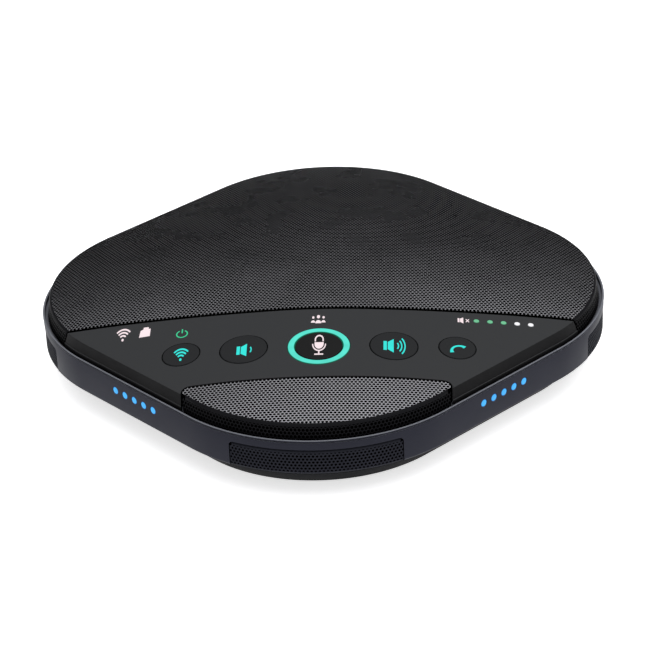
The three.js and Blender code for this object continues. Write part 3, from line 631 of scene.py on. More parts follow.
def edge_rings(loop, fillet, hold, surface, steps=4):
    """Rings from a hold ring inside a plate's face, over its rounded edge to the loop itself."""
    every = [1.0] * len(loop)
    rings = []
    shifts = [(-fillet - hold, 0.0)]
    for step in range(steps + 1):
        angle = math.pi / 2 * step / steps
        shifts.append((-fillet * (1 - math.sin(angle)), fillet * (1 - math.cos(angle))))
    for shift, drop in shifts:
        flat = shifted(loop, [a * shift for a in every])
        rings.append([(x, y, float(surface(x, y)) - drop) for x, y in flat])
    return rings


def hole_rings(x, y, radius, fillet, hold, surface, depth, steps=48):
    """A round hole's rings; the loop runs clockwise, so the plate is on its left."""
    loop = list(reversed(circle(x, y, radius, steps)))
    rings = edge_rings(loop, fillet, hold, surface)
    rings.append([(px, py, float(surface(px, py)) - depth) for px, py in loop])
    return rings


# ------------------------------------------------------------ perforated sheets


def half_planes(polygon):
    """A convex counter-clockwise polygon as rows of (normal x, normal y, offset), inside positive."""
    points = np.array(polygon)
    along = np.roll(points, -1, axis=0) - points
    normals = np.stack([-along[:, 1], along[:, 0]], axis=1) / np.hypot(*along.T)[:, None]
    return np.column_stack([normals, -(normals * points).sum(axis=1)])


def clipped(shape, planes):
    """The part of a convex shape on the inner side of every plane."""
    for nx, ny, offset in planes:
        result = []
        for i, b in enumerate(shape):
            a = shape[i - 1]
            da, db = a[0] * nx + a[1] * ny + offset, b[0] * nx + b[1] * ny + offset
            if (da > 0) != (db > 0):
                t = da / (da - db)
                result.append((a[0] + (b[0] - a[0]) * t, a[1] + (b[1] - a[1]) * t))
            if db > 0:
                result.append(b)
        shape = result
        if len(shape) < 3:
            return []
    return shape


def area_of(shape):
    return sum(shape[i - 1][0] * b[1] - b[0] * shape[i - 1][1] for i, b in enumerate(shape)) / 2


def perforated(polygon, place, wall=0.0, edge=0.5, radius=HOLE_RADIUS, steps=12):
    """A sheet over a convex polygon of the plane, with staggered round holes, as (points, faces).
    place takes flat points to their place in space and the outward normals there. The sheet is one
    layer; its holes get walls and its border an edge, each as deep as given."""
    corner = HOLE_PITCH / math.sqrt(3)
    planes = half_planes(polygon)
    low, high = np.min(polygon, axis=0), np.max(polygon, axis=0)
    row_pitch = HOLE_PITCH * math.sqrt(3) / 2
    rows = np.arange(math.floor(low[1] / row_pitch) - 1, math.ceil(high[1] / row_pitch) + 2)
    columns = np.arange(math.floor(low[0] / HOLE_PITCH) - 1, math.ceil(high[0] / HOLE_PITCH) + 2)
    row, column = np.meshgrid(rows, columns, indexing="ij")
    centres = np.column_stack(
        [((column + row % 2 / 2) * HOLE_PITCH).ravel(), (row * row_pitch).ravel()]
    )
    nearness = np.full(len(centres), np.inf)
    for nx, ny, offset in planes:
        nearness = np.minimum(nearness, centres @ np.array([nx, ny]) + offset)
    full = centres[nearness >= corner]
    partial = centres[(nearness < corner) & (nearness > -corner)]

    def ring(distance, turns):
        return distance * np.column_stack([np.cos(turns), np.sin(turns)])

    corners = ring(corner, np.radians(30 + 60 * np.arange(6)))
    rim = ring(radius, 2 * math.pi * np.arange(steps) / steps)
    per = steps // 6
    shapes = []
    for k in range(6):
        arc = [rim[(k * per + per // 2 + j) % steps] for j in range(per, -1, -1)]
        shapes.append(np.array([corners[k], corners[(k + 1) % 6], *arc]))
    stacked = [(full[:, None, :] + shape[None]).reshape(-1, 2) for shape in shapes]
    size = len(shapes[0])
    pieces = []
    for centre in partial:
        near = [p for p in planes if centre @ p[:2] + p[2] < corner]
        for shape in shapes:
            moved = shape + centre
            fan = [(moved[0], moved[1], moved[2 + per // 2])]
            fan += [(moved[0], moved[j], moved[j + 1]) for j in range(2 + per // 2, size - 1)]
            fan += [(moved[1], moved[j], moved[j + 1]) for j in range(2, 2 + per // 2)]
            for triangle in fan:
                part = clipped([tuple(p) for p in triangle], near)
                if part and abs(area_of(part)) > 1e-4:
                    pieces.append(part)
    loose = [p for part in pieces for p in part]
    every = np.concatenate([*stacked, np.array(loose).reshape(-1, 2)])
    keys = np.round(every * 2000).astype(np.int64)
    _, first, index = np.unique(keys, axis=0, return_index=True, return_inverse=True)
    index = index.ravel()
    flat = every[first]
    faces = [tuple(f) for f in index[: len(full) * 6 * size].reshape(-1, size).tolist()]
    start = len(full) * 6 * size
    for part in pieces:
        corner_ids = list(dict.fromkeys(index[start : start + len(part)].tolist()))
        if len(corner_ids) > 2:
            faces.append(tuple(corner_ids))
        start += len(part)
    border = np.full(len(flat), np.inf)
    for nx, ny, offset in planes:
        border = np.minimum(border, np.abs(flat @ np.array([nx, ny]) + offset))
    return walled(flat, faces, place, border < 0.002, wall, edge)


def walled(flat, faces, place, on_border, wall, edge):
    """The placed sheet with its open edges turned down: hole rims by wall, the border by edge."""
    count = {}
    for face in faces:
        for i, b in enumerate(face):
            a = face[i - 1]
            count[(a, b)] = count.get((a, b), 0) + 1
    places, normals = place(flat)
    points = places.tolist()
    below = {}

    def lowered(vertex, depth):
        if (vertex, depth) not in below:
            below[(vertex, depth)] = len(points)
            points.append((places[vertex] - normals[vertex] * depth).tolist())
        return below[(vertex, depth)]

    faces = list(faces)
    for a, b in [pair for pair in count if (pair[1], pair[0]) not in count]:
        depth = edge if on_border[a] and on_border[b] else wall
        if depth:
            faces.append((b, a, lowered(a, depth), lowered(b, depth)))
    return points, faces


def on_dome(drop):
    """A placing that lays flat points on the dome, lowered by drop."""

    def place(flat):
        x, y = flat[:, 0], flat[:, 1]
        step = 0.05
        slope_x = (dome(x + step, y) - dome(x - step, y)) / (2 * step)
        slope_y = (dome(x, y + step) - dome(x, y - step)) / (2 * step)
        normals = np.column_stack([-slope_x, -slope_y, np.ones(len(x))])
        normals /= np.linalg.norm(normals, axis=1)[:, None]
        return np.column_stack([x, y, dome(x, y) - drop]), normals

    return place


class Ribbon:
    """The ruled surface between two insets of the outline at two heights. u runs along the upper
    edge, v from the upper edge down."""

    def __init__(self, upper, lower):
        self.top = np.array([(*p, upper[1]) for p in outline(upper[0])])
        self.foot = np.array([(*p, lower[1]) for p in outline(lower[0])])
        self.top = np.vstack([self.top, self.top[:1]])
        self.foot = np.vstack([self.foot, self.foot[:1]])
        self.u = np.concatenate([[0], np.cumsum(np.linalg.norm(np.diff(self.top, axis=0), axis=1))])
        self.height = float(np.linalg.norm(self.top[0] - self.foot[0]))

    def edge(self, line, u):
        u = np.mod(u, self.u[-1])
        return np.column_stack([np.interp(u, self.u, line[:, k]) for k in range(3)])

    def place(self, flat):
        upper, lower = self.edge(self.top, flat[:, 0]), self.edge(self.foot, flat[:, 0])
        share = flat[:, 1:2] / self.height
        ahead = self.edge(self.top, flat[:, 0] + 0.3) - self.edge(self.top, flat[:, 0] - 0.3)
        normals = np.cross(lower - upper, ahead)
        normals /= np.linalg.norm(normals, axis=1)[:, None]
        return upper + (lower - upper) * share, normals

    def where(self, line, axis, value, near):
        """u at which an edge crosses a plane, nearest to the u given."""
        values = line[:, axis] - value
        found = []
        for i in range(len(values) - 1):
            if values[i] * values[i + 1] < 0:
                share = values[i] / (values[i] - values[i + 1])
                found.append(self.u[i] + (self.u[i + 1] - self.u[i]) * share)
        return min(found, key=lambda u: abs(u - near))

    def strip(self, axis, start_value, start_near, end_value, end_near):
        """The polygon in (u, v) between two planes."""
        turns = self.u[-1]
        corners = []
        for line, v in ((self.top, 0.0), (self.foot, self.height)):
            a = self.where(line, axis, start_value, start_near * turns)
            b = self.where(line, axis, end_value, end_near * turns)
            corners.append((a, b if b > a else b + turns, v))
        (a0, b0, v0), (a1, b1, v1) = corners
        return [(a0, v0), (b0, v0), (b1, v1), (a1, v1)]


# ------------------------------------------------------------ casings


def outline_rings(profile):
    return [[(x, y, height) for x, y in outline(inset)] for inset, height in profile]


def side_housing():
    ledge_top, ledge_bottom, ledge_inset = LIP_TOP - 2, LIP_TOP - 3.5, 8.0
    groove_top, groove_bottom, groove_inset = LIP_TOP - 0.65, LIP_TOP - 1.0, 0.6
    turn = [WALL_BOTTOM + (WALL_TURN - WALL_BOTTOM) * k / 8 for k in range(9)]
    profile = rounded([
        *((wall_inset(height), height, 0) for height in turn),
        (WALL_INSET, groove_bottom, 0.08),
        (groove_inset, groove_bottom, 0),
        (groove_inset, groove_top, 0),
        (0.0, groove_top, 0.1),
        (0.0, LIP_TOP, 0.35),
        (0.9, LIP_TOP, 0.3),
        (0.9, ledge_top, 0),
        (ledge_inset, ledge_top, 0),
        (ledge_inset, ledge_bottom, 0),
        (WALL_INSET + WALL_THICKNESS, ledge_bottom, 0),
        (WALL_INSET + WALL_THICKNESS, WALL_TURN, 0),
        (WALL_BOTTOM_INSET + WALL_THICKNESS, WALL_BOTTOM, 0),
    ])
    points, faces = hoop(outline_rings(profile))
    obj = piece("outer_housing", points, faces, HOUSING, "housing_satin",
                replaces=["side_housing"], crease=30)
    cutters = []
    far = HOUSING_HIGH.x + 10
    for heading in CORNERS.values():
        cutters.append(through(heading, CORNER_CENTRE, far, window_shape(*MIC_WINDOW)))
    for heading in SIDES.values():
        for across in light_places():
            hole = circle(across, LIGHT_HEIGHT, LIGHT_RADIUS + 0.12)
            cutters.append(through(heading, APOTHEM - 6, APOTHEM + 2, hole))
    usb_across, audio_across, port_height = PORTS
    usb = racetrack(usb_across, port_height, 4.77, 1.93)
    cutters.append(through(45, APOTHEM - 7, APOTHEM + 2, usb))
    cutters.append(through(45, APOTHEM - 7, APOTHEM + 2, circle(audio_across, port_height, 3.0)))
    cut(obj, join(*cutters))


MIC_HIGH = box_mm("mic_grille_front")[1]
MIC_WINDOW = (MIC_HIGH.x + GAP, 0.0, MIC_HIGH.z + GAP, 1.8)  # half width, foot, top, corner radius
MIC_RECESS = 0.2
LIGHT_LOW, LIGHT_HIGH = box_mm("light_guide_front_right")
LIGHT_HEIGHT = (LIGHT_LOW.z + LIGHT_HIGH.z) / 2
LIGHT_RADIUS = 1.5
LIGHT_PITCH = 5.59
PORTS = (-24.0, 24.0, 15.0)  # across the back right side: data socket, audio socket, height


def light_places():
    return [(i - (LIGHT_COUNT - 1) / 2) * LIGHT_PITCH for i in range(LIGHT_COUNT)]


def base_shell():
    edge = WALL_BOTTOM_INSET + GAP
    slope_bottom, slope_inset = 2.4, 11.3
    profile = rounded([
        (13.5, BASE_LOW.z, 0.5),
        (slope_inset, slope_bottom, 1.2),
        (edge, BASE_HIGH.z, 0.25),
        (edge + WALL_THICKNESS, BASE_HIGH.z, 0.25),
        (slope_inset + WALL_THICKNESS, BASE_LOW.z + 2, 0),
    ])
    points, faces = band(outline_rings(profile))
    obj = piece("bottom_casing", points, faces, PLASTIC, "case_plastic",
                replaces=["base_shell"], crease=30)
    cutters = []
    for name in CORNERS:
        x, y, radius = round_place(f"foot_{name}")
        cutters.append(band(turned((x, y), [(radius + 0.3, 0.5), (radius + 0.3, 2.0)], 48)))
    for name in SIDES:
        x, y, radius = round_place(f"base_screw_{name}")
        sink = [(radius + 0.9, 0.5), (radius + 0.4, 1.75), (radius + 0.4, 3.6)]
        cutters.append(band(turned((x, y), sink, 40)))
    cut(obj, join(*cutters))


def feet():
    for name in CORNERS:
        x, y, radius = round_place(f"foot_{name}")
        profile = rounded([(0.0, 0.0, 0), (radius, 0.0, 0.6), (radius, 1.7, 0.1), (0.0, 1.7, 0)], 5)
        profile[0] = (0.01, 0.0)
        profile[-1] = (0.01, 1.7)
        points, faces = band(turned((x, y), profile, 48))
        piece(f"rubber_foot_{name}", points, faces, RUBBER, "rubber", replaces=[f"foot_{name}"])


# ------------------------------------------------------------ grilles


FOLD_REACH = 0.9  # the grilles are plain this far to each side of the fold
RIM_SLOPE = (FOLD_INSET - SKIRT_INSET) / (FOLD_HEIGHT - SKIRT_BOTTOM)


def region(planes, inset=FOLD_INSET + FOLD_REACH):
    """The outline at an inset, cut by planes (normal x, normal y, offset), inside positive."""
    return clipped([tuple(p) for p in outline(inset)], planes)


def along(inset, planes, count):
    """Points along the outline at an inset, over the part that lies inside the planes."""
    line = np.array(outline(inset))
    depth = np.min([line @ np.array([nx, ny]) + offset for nx, ny, offset in planes], axis=0)
    total = len(line)
    ends = {}
    for i in range(total):
        here, there = depth[i - 1], depth[i]
        if (here > 0) != (there > 0):
            ends[there > 0] = i - 1 + here / (here - there)
    start, end = ends[True], ends[False]
    if end < start:
        end += total
    places = np.linspace(start, end, count)
    share = (places % 1)[:, None]
    index = np.floor(places).astype(int)
    return line[index % total] * (1 - share) + line[(index + 1) % total] * share


def closed_strip(rings):
    """A closed body from rings of equal length, the last followed by the first, both ends shut."""
    count = len(rings[0])
    faces = []
    for level in range(len(rings)):
        faces += quads(level * count, (level + 1) % len(rings) * count, count, closed=False)
    faces.append(tuple(level * count for level in range(len(rings))))
    faces.append(tuple(level * count + count - 1 for level in reversed(range(len(rings)))))
    return [point for ring in rings for point in ring], faces


def fold_strip(name, planes, lift, count):
    """The plain rounded fold between a grille's face and its rim."""
    fold = FOLD_HEIGHT + lift
    over, skin = FOLD_REACH + 0.15, 0.35
    rise, reach = 0.16 * over, RIM_SLOPE * over
    section = rounded([
        (FOLD_INSET + over, fold + rise - 0.04, 0),
        (FOLD_INSET, fold, 1.3),
        (FOLD_INSET - reach + 0.04, fold - over, 0),
        (FOLD_INSET - reach + skin, fold - over, 0),
        (FOLD_INSET + skin, fold - skin, 0.7),
        (FOLD_INSET + over, fold + rise - skin, 0),
    ], 6)
    rings = [[(x, y, height) for x, y in along(inset, planes, count)] for inset, height in section]
    sheet_piece(name, closed_strip(rings))


def rim_ribbon(lift):
    top = FOLD_HEIGHT + lift - FOLD_REACH
    return Ribbon((FOLD_INSET - RIM_SLOPE * FOLD_REACH, top), (SKIRT_INSET, SKIRT_BOTTOM))


REAR_PLANES = [(0, 1, -REAR_LOW.y)]


def sheet_piece(name, mesh, material=SHADED_SHEET_RIM, replaces=()):
    # Unless another is given, a sheet piece takes the rim material, whose dark colour is painted
    # shade.
    return piece(name, *mesh, material, "grille_metal", replaces=replaces, crease=60)


def rear_grille():
    front = REAR_LOW.y
    ribbon = rim_ribbon(REAR_PROUD)
    for name, plane in {"left": (-1, 0, 0), "right": (1, 0, 0)}.items():
        mesh = perforated(region([*REAR_PLANES, plane]), on_dome(-REAR_PROUD))
        obj = sheet_piece(f"rear_grille_{name}_half", mesh, SHEET)
        if name == "left":
            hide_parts("rear_grille")
    strip = ribbon.strip(1, front, -0.1, front, 0.6)
    sheet_piece("rear_grille_rim", perforated(strip, ribbon.place))
    fold_strip("rear_grille_fold", REAR_PLANES, REAR_PROUD, 260)


def front_planes():
    """The straight back edge and rounded back corners of the front grille, as planes."""
    half, back = FRONT_HIGH.x, FRONT_HIGH.y
    radius = NOTCH[2] - FRONT_SEAM
    planes = []
    for step in range(17):
        angle = math.radians(step * 180 / 16)
        turn_x = (half - radius) * (1 if math.cos(angle) > 0 else -1)
        nx, ny = -math.cos(angle), -math.sin(angle)
        planes.append((nx, ny, -(nx * turn_x + ny * (back - radius)) + radius))
    return planes


def front_grille():
    ribbon = rim_ribbon(-FRONT_SINK)
    mesh = perforated(region(front_planes()), on_dome(FRONT_SINK), wall=0.12, edge=0.3)
    sheet_piece("front_grille_sheet", mesh, SHEET, ["front_grille"])
    strip = ribbon.strip(0, -FRONT_HIGH.x, 0.66, FRONT_HIGH.x, 0.84)
    sheet_piece("front_grille_rim", perforated(strip, ribbon.place, wall=0.12, edge=0.3))
    fold_strip("front_grille_fold", front_planes(), -FRONT_SINK, 90)


CARRIER_GAP = 0.4


def carrier(name, planes, lift):
    """The black moulding behind a perforated sheet, from its middle to the foot of its rim."""
    inset = FOLD_INSET + 0.3
    polygon = region(planes, inset)
    folded = []
    for i, a in enumerate(polygon):
        b = polygon[(i + 1) % len(polygon)]
        folded.append(not any(abs(nx * p[0] + ny * p[1] + d) < 1e-4 for nx, ny, d in planes
                              for p in [((a[0] + b[0]) / 2, (a[1] + b[1]) / 2)]))
    loop, flags = divided(polygon, folded, 4.0)

    def face(x, y):
        return dome(x, y) + lift - CARRIER_GAP

    rings = [[(x, y, float(face(x, y))) for x, y in loop]]
    reach = inset - SKIRT_INSET - CARRIER_GAP
    foot = SKIRT_BOTTOM + 0.1
    for shift, height, depth in ((reach, foot, 0.4), (reach - 0.8, foot, 0.8)):
        flat = shifted(loop, [shift if flag else 0.0 for flag in flags])
        ring = []
        for i, ((x, y), (x0, y0)) in enumerate(zip(flat, loop)):
            ring.append((x, y, height if flags[i] or flags[i - 1] else float(face(x0, y0)) - depth))
        rings.append(ring)
    rings.append([(x, y, float(face(x, y)) - 1.0) for x, y in loop])
    points, faces = stitched([rings], 9.0, face, lambda x, y: face(x, y) - 1.0)
    piece(name, points, faces, CARRIER, "case_plastic", crease=50)


def carriers():
    carrier("rear_grille_carrier", REAR_PLANES, REAR_PROUD)
    carrier("front_grille_carrier", front_planes(), -FRONT_SINK)


# ------------------------------------------------------------ control panel


def panel_loop():
    """The panel's outline, counter-clockwise, and for each edge whether it lies on the fold."""
    half, back, radius = NOTCH
    left = arc_part(region([(0, -1, PANEL_BACK), (-1, 0, -half)], FOLD_INSET))
    right = [(-x, y) for x, y in reversed(left)]
    notch = []
    for step in range(9):
        angle = math.radians(180 - 90 * step / 8)
        x = -half + radius + radius * math.cos(angle)
        notch.append((x, back - radius + radius * math.sin(angle)))
    notch += [(-x, y) for x, y in reversed(notch)]
    loop, folded = [], []
    for points, is_fold in ((left, True), (notch, False), (right, True)):
        for i, p in enumerate(points):
            loop.append(p)
            folded.append(is_fold and i < len(points) - 1)
    return divided(loop, folded, 2.5)


def divided(loop, flags, longest):
    """The loop with its long edges divided, and each new edge's flag."""
    points, more = [], []
    for i, a in enumerate(loop):
        b = loop[(i + 1) % len(loop)]
        parts = max(1, math.ceil(math.dist(a, b) / longest))
        for k in range(parts):
            points.append((a[0] + (b[0] - a[0]) * k / parts, a[1] + (b[1] - a[1]) * k / parts))
            more.append(flags[i])
    return points, more


def arc_part(polygon):
    """The points of a clipped outline that lie on the fold, from the back edge to the notch."""
    start = polygon.index(min(polygon, key=lambda p: (round(-p[1], 3), p[0])))
    points = polygon[start:] + polygon[:start]

    def off_fold(p):
        return abs(math.hypot(*p) - float(fold_reach(math.atan2(p[1], p[0]))))

    return [p for p in points if off_fold(p) < 0.2]


def control_panel():
    loop, folded = panel_loop()
    fillet, hold = 0.25, 0.35
    rings = edge_rings(loop, fillet, hold, dome)
    on_fold = [folded[i] or folded[i - 1] for i in range(len(loop))]
    reach = FOLD_INSET - SKIRT_INSET
    levels = [
        (reach - 0.35, STEP_HEIGHT + 0.1, 0.5),
        (reach, STEP_HEIGHT, 0.8),
        (reach, SKIRT_BOTTOM, 1.2),
        (reach - PANEL_THICKNESS, SKIRT_BOTTOM, PANEL_THICKNESS),
        (-1.1, FOLD_HEIGHT - PANEL_THICKNESS, PANEL_THICKNESS),
    ]
    for shift, height, depth in levels:
        flat = shifted(loop, [shift if flag else 0.0 for flag in folded])
        ring = []
        for (x, y), fold_point, (x0, y0) in zip(flat, on_fold, loop):
            ring.append((x, y, height if fold_point else float(dome(x0, y0)) - depth))
        rings.append(ring)
    loops = [rings]
    for name in KEYS:
        x, y, radius = key_place(name)
        loops.append(hole_rings(x, y, radius, 0.2, 0.3, dome, PANEL_THICKNESS, 64))
    x, y, radius = ring_place()
    loops.append(hole_rings(x, y, radius + 0.12, 0.15, 0.3, dome, PANEL_THICKNESS, 72))
    for x in level_places():
        hole = LEVEL_RADIUS + 0.1
        loops.append(hole_rings(x, LEVEL_Y, hole, 0.08, 0.15, dome, PANEL_THICKNESS, 24))
    points, faces = stitched(loops, 3.2, dome, lambda x, y: dome(x, y) - PANEL_THICKNESS)
    piece("top_panel", points, faces, PANEL, "panel_plastic", replaces=["control_panel"], crease=32)


def key_place(name):
    """Middle of a key and the radius of its hole in the panel."""
    x, y, radius = round_place(f"{name}_button")
    return x, y, radius - FLANGE_OVERHANG


def ring_place():
    x, y, radius = round_place("mute_light_ring")
    return x, y, radius - FLANGE_OVERHANG


LEVEL_LOW, LEVEL_HIGH = box_mm("level_light_guide")
LEVEL_Y = (LEVEL_LOW.y + LEVEL_HIGH.y) / 2
LEVEL_RADIUS = 1.15
LEVEL_LIT = 3


def level_places():
    first, last = LEVEL_LOW.x + 2.0, LEVEL_HIGH.x - 2.0
    return [first + (last - first) * i / (LIGHT_COUNT - 1) for i in range(LIGHT_COUNT)]


# ------------------------------------------------------------ keys and lights


KEY_PROUD = 0.15
STEM_RADIUS = 2.2
FLANGE_THICKNESS = 0.6


def key_face(x, y):
    return dome(x, y) + KEY_PROUD


def key(name, x, y, cap_radius, material):
    """A round key: a cap that follows the dome, and below it the flange and stem of the CAD key."""
    low, high = box_mm(f"{name}_button")
    fillet = 0.3
    loop = circle(x, y, cap_radius, 72)
    rings = edge_rings(loop, fillet, 0.4, key_face)
    flange_radius = (high.x - low.x) / 2
    flange_top = flange_height(name)
    for radius, height in (
        (cap_radius, flange_top),
        (flange_radius, flange_top),
        (flange_radius, flange_top - FLANGE_THICKNESS),
        (STEM_RADIUS, flange_top - FLANGE_THICKNESS),
        (STEM_RADIUS, low.z),
    ):
        rings.append([(px, py, height) for px, py in circle(x, y, radius, 72)])
    flat, triangles = filled([p[:2] for p in rings[0]], [], 2.5)
    count = len(loop)
    points = list(rings[0]) + [(px, py, float(key_face(px, py))) for px, py in flat[count:]]
    faces = list(triangles)
    here = 0
    for ring in rings[1:]:
        there = len(points)
        points += ring
        faces += quads(here, there, count)
        here = there
    faces.append(tuple(range(here, here + count)))
    piece(f"{name}_key_cap", points, faces, material, "button_plastic", f"{name}_key",
          [f"{name}_button"], 32)


def flange_height(name):
    """The top of a key's flange: the height of the widest ring of the CAD key."""
    verts = frame["nodes"][f"{name}_button"].data.vertices
    middle_x, _, reach = round_place(f"{name}_button")
    wide = [v.co.z / MM for v in verts if abs(abs(v.co.x / MM - middle_x) - reach) < 0.05]
    return max(wide)


def keys():
    for name in KEYS:
        x, y, radius = key_place(name)
        key(name, x, y, radius - GAP, KEY)
    x, y, _ = ring_place()
    key("mute", x, y, MUTE_RADIUS, MUTE_KEY)


MUTE_RADIUS = 9.1
RING_INNER = 9.4


def light_ring():
    x, y, outer = ring_place()
    low, _ = box_mm("mute_light_ring")
    middle, half = (outer + RING_INNER) / 2, (outer - RING_INNER) / 2
    rings, glow = [], []
    steps = 96
    for k in range(13):
        t = k / 12 * 2 - 1
        crown = 0.22 * math.sqrt(max(0.0, 1 - abs(t) ** 3))
        radius = middle - t * half
        rings += turned((x, y), [(radius, crown + 0.02)], steps, dome)
        glow += [1 - abs(t) ** 2] * steps
    for radius in (RING_INNER, outer):
        rings.append([(px, py, low.z) for px, py in circle(x, y, radius, steps)])
        glow += [0.0] * steps
    points, faces = hoop(rings)
    piece("mute_ring_light", points, faces, RING_GLOW, "ring_light",
          replaces=["mute_light_ring"], glow=glow, crease=50)


def lens(place, radius, thickness, crown, steps=24):
    """A small domed lens as (points, faces, glow). place takes (across, up, out) to a point."""
    rings, glow = [], []
    for share in (0.25, 0.5, 0.7, 0.85, 0.95, 1.0):
        out = crown * (1 - share**2)
        rings.append([place(px, py, out) for px, py in circle(0, 0, radius * share, steps)])
        glow += [1 - share**2.5] * steps
    rings.append([place(px, py, -thickness) for px, py in circle(0, 0, radius, steps)])
    glow += [0.0] * steps
    points, faces = band(rings)
    return points, faces, glow


def lens_group(specs):
    """Several lenses as one (points, faces, glow)."""
    made = [lens(*spec) for spec in specs]
    points, faces = join(*[(more_points, more_faces) for more_points, more_faces, _ in made])
    return points, faces, [value for _, _, glow in made for value in glow]


def side_lights():
    """Each straight side's five lenses, and the light bar that joins them inside the wall."""
    face = APOTHEM - WALL_INSET
    bar_face = face - WALL_THICKNESS - GAP
    reach = light_places()[-1] + 3.0
    section = [(-reach, -1.5), (reach, -1.5), (reach, 1.5), (-reach, 1.5)]
    for name, heading in SIDES.items():
        specs = []
        for across in light_places():

            def place(a, h, out, across=across, heading=heading):
                return outward(heading, face - 0.15 + out, across + a, LIGHT_HEIGHT + h)

            specs.append((place, LIGHT_RADIUS, WALL_THICKNESS + 0.1, 0.25))
        points, faces, glow = lens_group(specs)
        bar_section = [(a, LIGHT_HEIGHT + h) for a, h in section]
        bar_mesh = through(heading, bar_face - 2.5, bar_face, bar_section)
        points, faces = join((points, faces), bar_mesh)
        glow += [0.0] * len(bar_mesh[0])
        piece(f"side_lights_{name}", points, faces, BLUE_GLOW, "blue_light",
              replaces=[f"light_guide_{name}"], glow=glow, crease=60)


def level_lights():
    specs = []
    for x in level_places():

        def place(a, h, out, x=x):
            return (x + a, LEVEL_Y + h, float(dome(x + a, LEVEL_Y + h)) + 0.02 + out)

        specs.append((place, LEVEL_RADIUS, 1.5, 0.08))
    for name, group, material, replaces in (
        ("level_lights_lit", specs[:LEVEL_LIT], GREEN_GLOW, ["level_light_guide"]),
        ("level_lights_idle", specs[LEVEL_LIT:], WHITE_GLOW, []),
    ):
        points, faces, glow = lens_group(group)
        piece(name, points, faces, material, "status_light",
              replaces=replaces, glow=glow, crease=60)


# ------------------------------------------------------------ corner microphone grilles


HOLES_TOP = MIC_HIGH.z - 1.2  # above this height the corner sheets curl inwards
HOLES_END = 12.9  # the corner sheets are plain below this height
MIC_HOLE_RADIUS = 0.5
CURL_RADIUS = 1.1
MIC_ARC_RADIUS = CORNER_RADIUS - WALL_INSET - MIC_RECESS


def mic_grilles():
    half, radius = MIC_WINDOW[0] - GAP, 0.8
    inset = WALL_INSET + MIC_RECESS
    ribbon = Ribbon((inset, HOLES_TOP), (inset, HOLES_END))
    turns = ribbon.u[-1]
    start = reach_on_arc(ribbon, -half)
    shape = [(start, ribbon.height), (start, radius)]
    for step in range(1, 7):
        angle = math.radians(180 + 90 * step / 6)
        shape.append((start + radius + radius * math.cos(angle), radius + radius * math.sin(angle)))
    shape += [(-u, v) for u, v in reversed(shape)]
    for name, heading in CORNERS.items():
        middle = turns * (heading / 360) + (ribbon.u[CORNER_STEPS] / 2)
        polygon = [(u + middle, v) for u, v in shape]
        if area_of(polygon) < 0:
            polygon.reverse()
        sheet = perforated(polygon, ribbon.place, wall=0.15, edge=0.4, radius=MIC_HOLE_RADIUS)
        points, faces = join(sheet, plain_foot(heading, half), curled_top(heading, half - radius))
        piece(f"corner_grille_{name}", points, faces, MIC_SHEET, "mic_grille_metal",
              replaces=[f"mic_grille_{name}"], crease=60)
        mic_backing(name, heading, half)


def curled_top(heading, half):
    """The upper edge of a corner sheet, which curls inwards behind the window's top."""
    profile = []
    for step in range(5):
        angle = math.radians(90 * step / 4)
        inset = WALL_INSET + MIC_RECESS + CURL_RADIUS * (1 - math.cos(angle))
        profile.append((inset, HOLES_TOP + CURL_RADIUS * math.sin(angle)))
    profile += [(inset + 0.4, height - 0.1) for inset, height in reversed(profile)]
    return arc_strip(heading, profile, math.asin(half / MIC_ARC_RADIUS), 40)


def plain_foot(heading, half):
    """The foot of a corner sheet, which turns inwards with the wall and has no holes."""
    heights = [HOLES_END - (HOLES_END - WALL_BOTTOM) * k / 6 for k in range(7)]
    profile = [(wall_inset(height) + MIC_RECESS, height) for height in heights]
    profile += [(inset + 0.6, height) for inset, height in reversed(profile)]
    return arc_strip(heading, profile, math.asin(half / MIC_ARC_RADIUS), 40)


def arc_strip(heading, profile, spread, steps):
    """A closed body of (inset, height) section, bent around a corner from -spread to spread."""
    rings = []
    for inset, height in profile:
        reach = CORNER_RADIUS - inset
        turns = [(step / steps * 2 - 1) * spread for step in range(steps + 1)]
        rings.append([
            outward(heading, CORNER_CENTRE + reach * math.cos(t), reach * math.sin(t), height)
            for t in turns
        ])
    return closed_strip(rings)


def reach_on_arc(ribbon, across):
    """u, from the middle of a corner's arc, at which the ribbon is across from the middle."""
    u = np.linspace(-60, 60, 2401)
    middle = ribbon.u[CORNER_STEPS] / 2
    y = ribbon.edge(ribbon.top, u + middle)[:, 1]
    return float(np.interp(across, y, u))


def mic_backing(name, heading, half):
    """A thin black moulding behind a corner grille."""
    behind = WALL_INSET + MIC_RECESS + 0.7
    top, foot = HOLES_TOP, HOLES_END - 0.5
    profile = [(behind, top), (behind, foot), (behind + 0.15, foot), (behind + 0.15, top)]
    spread = math.asin(half / (CORNER_RADIUS - behind))
    points, faces = arc_strip(heading, profile, spread, 24)
    piece(f"corner_grille_backing_{name}", points, faces, CARRIER, "case_plastic")


# ------------------------------------------------------------ signs


def arc_band(x, y, inner, outer, start, end, steps=14):
    """A curved stroke from start to end degrees."""
    turns = [math.radians(start + (end - start) * k / steps) for k in range(steps + 1)]
    there = [(x + outer * math.cos(t), y + outer * math.sin(t)) for t in turns]
    back = [(x + inner * math.cos(t), y + inner * math.sin(t)) for t in reversed(turns)]
    return there + back


def bar(x0, y0, x1, y1):
    return [(x0, y0), (x1, y0), (x1, y1), (x0, y1)]


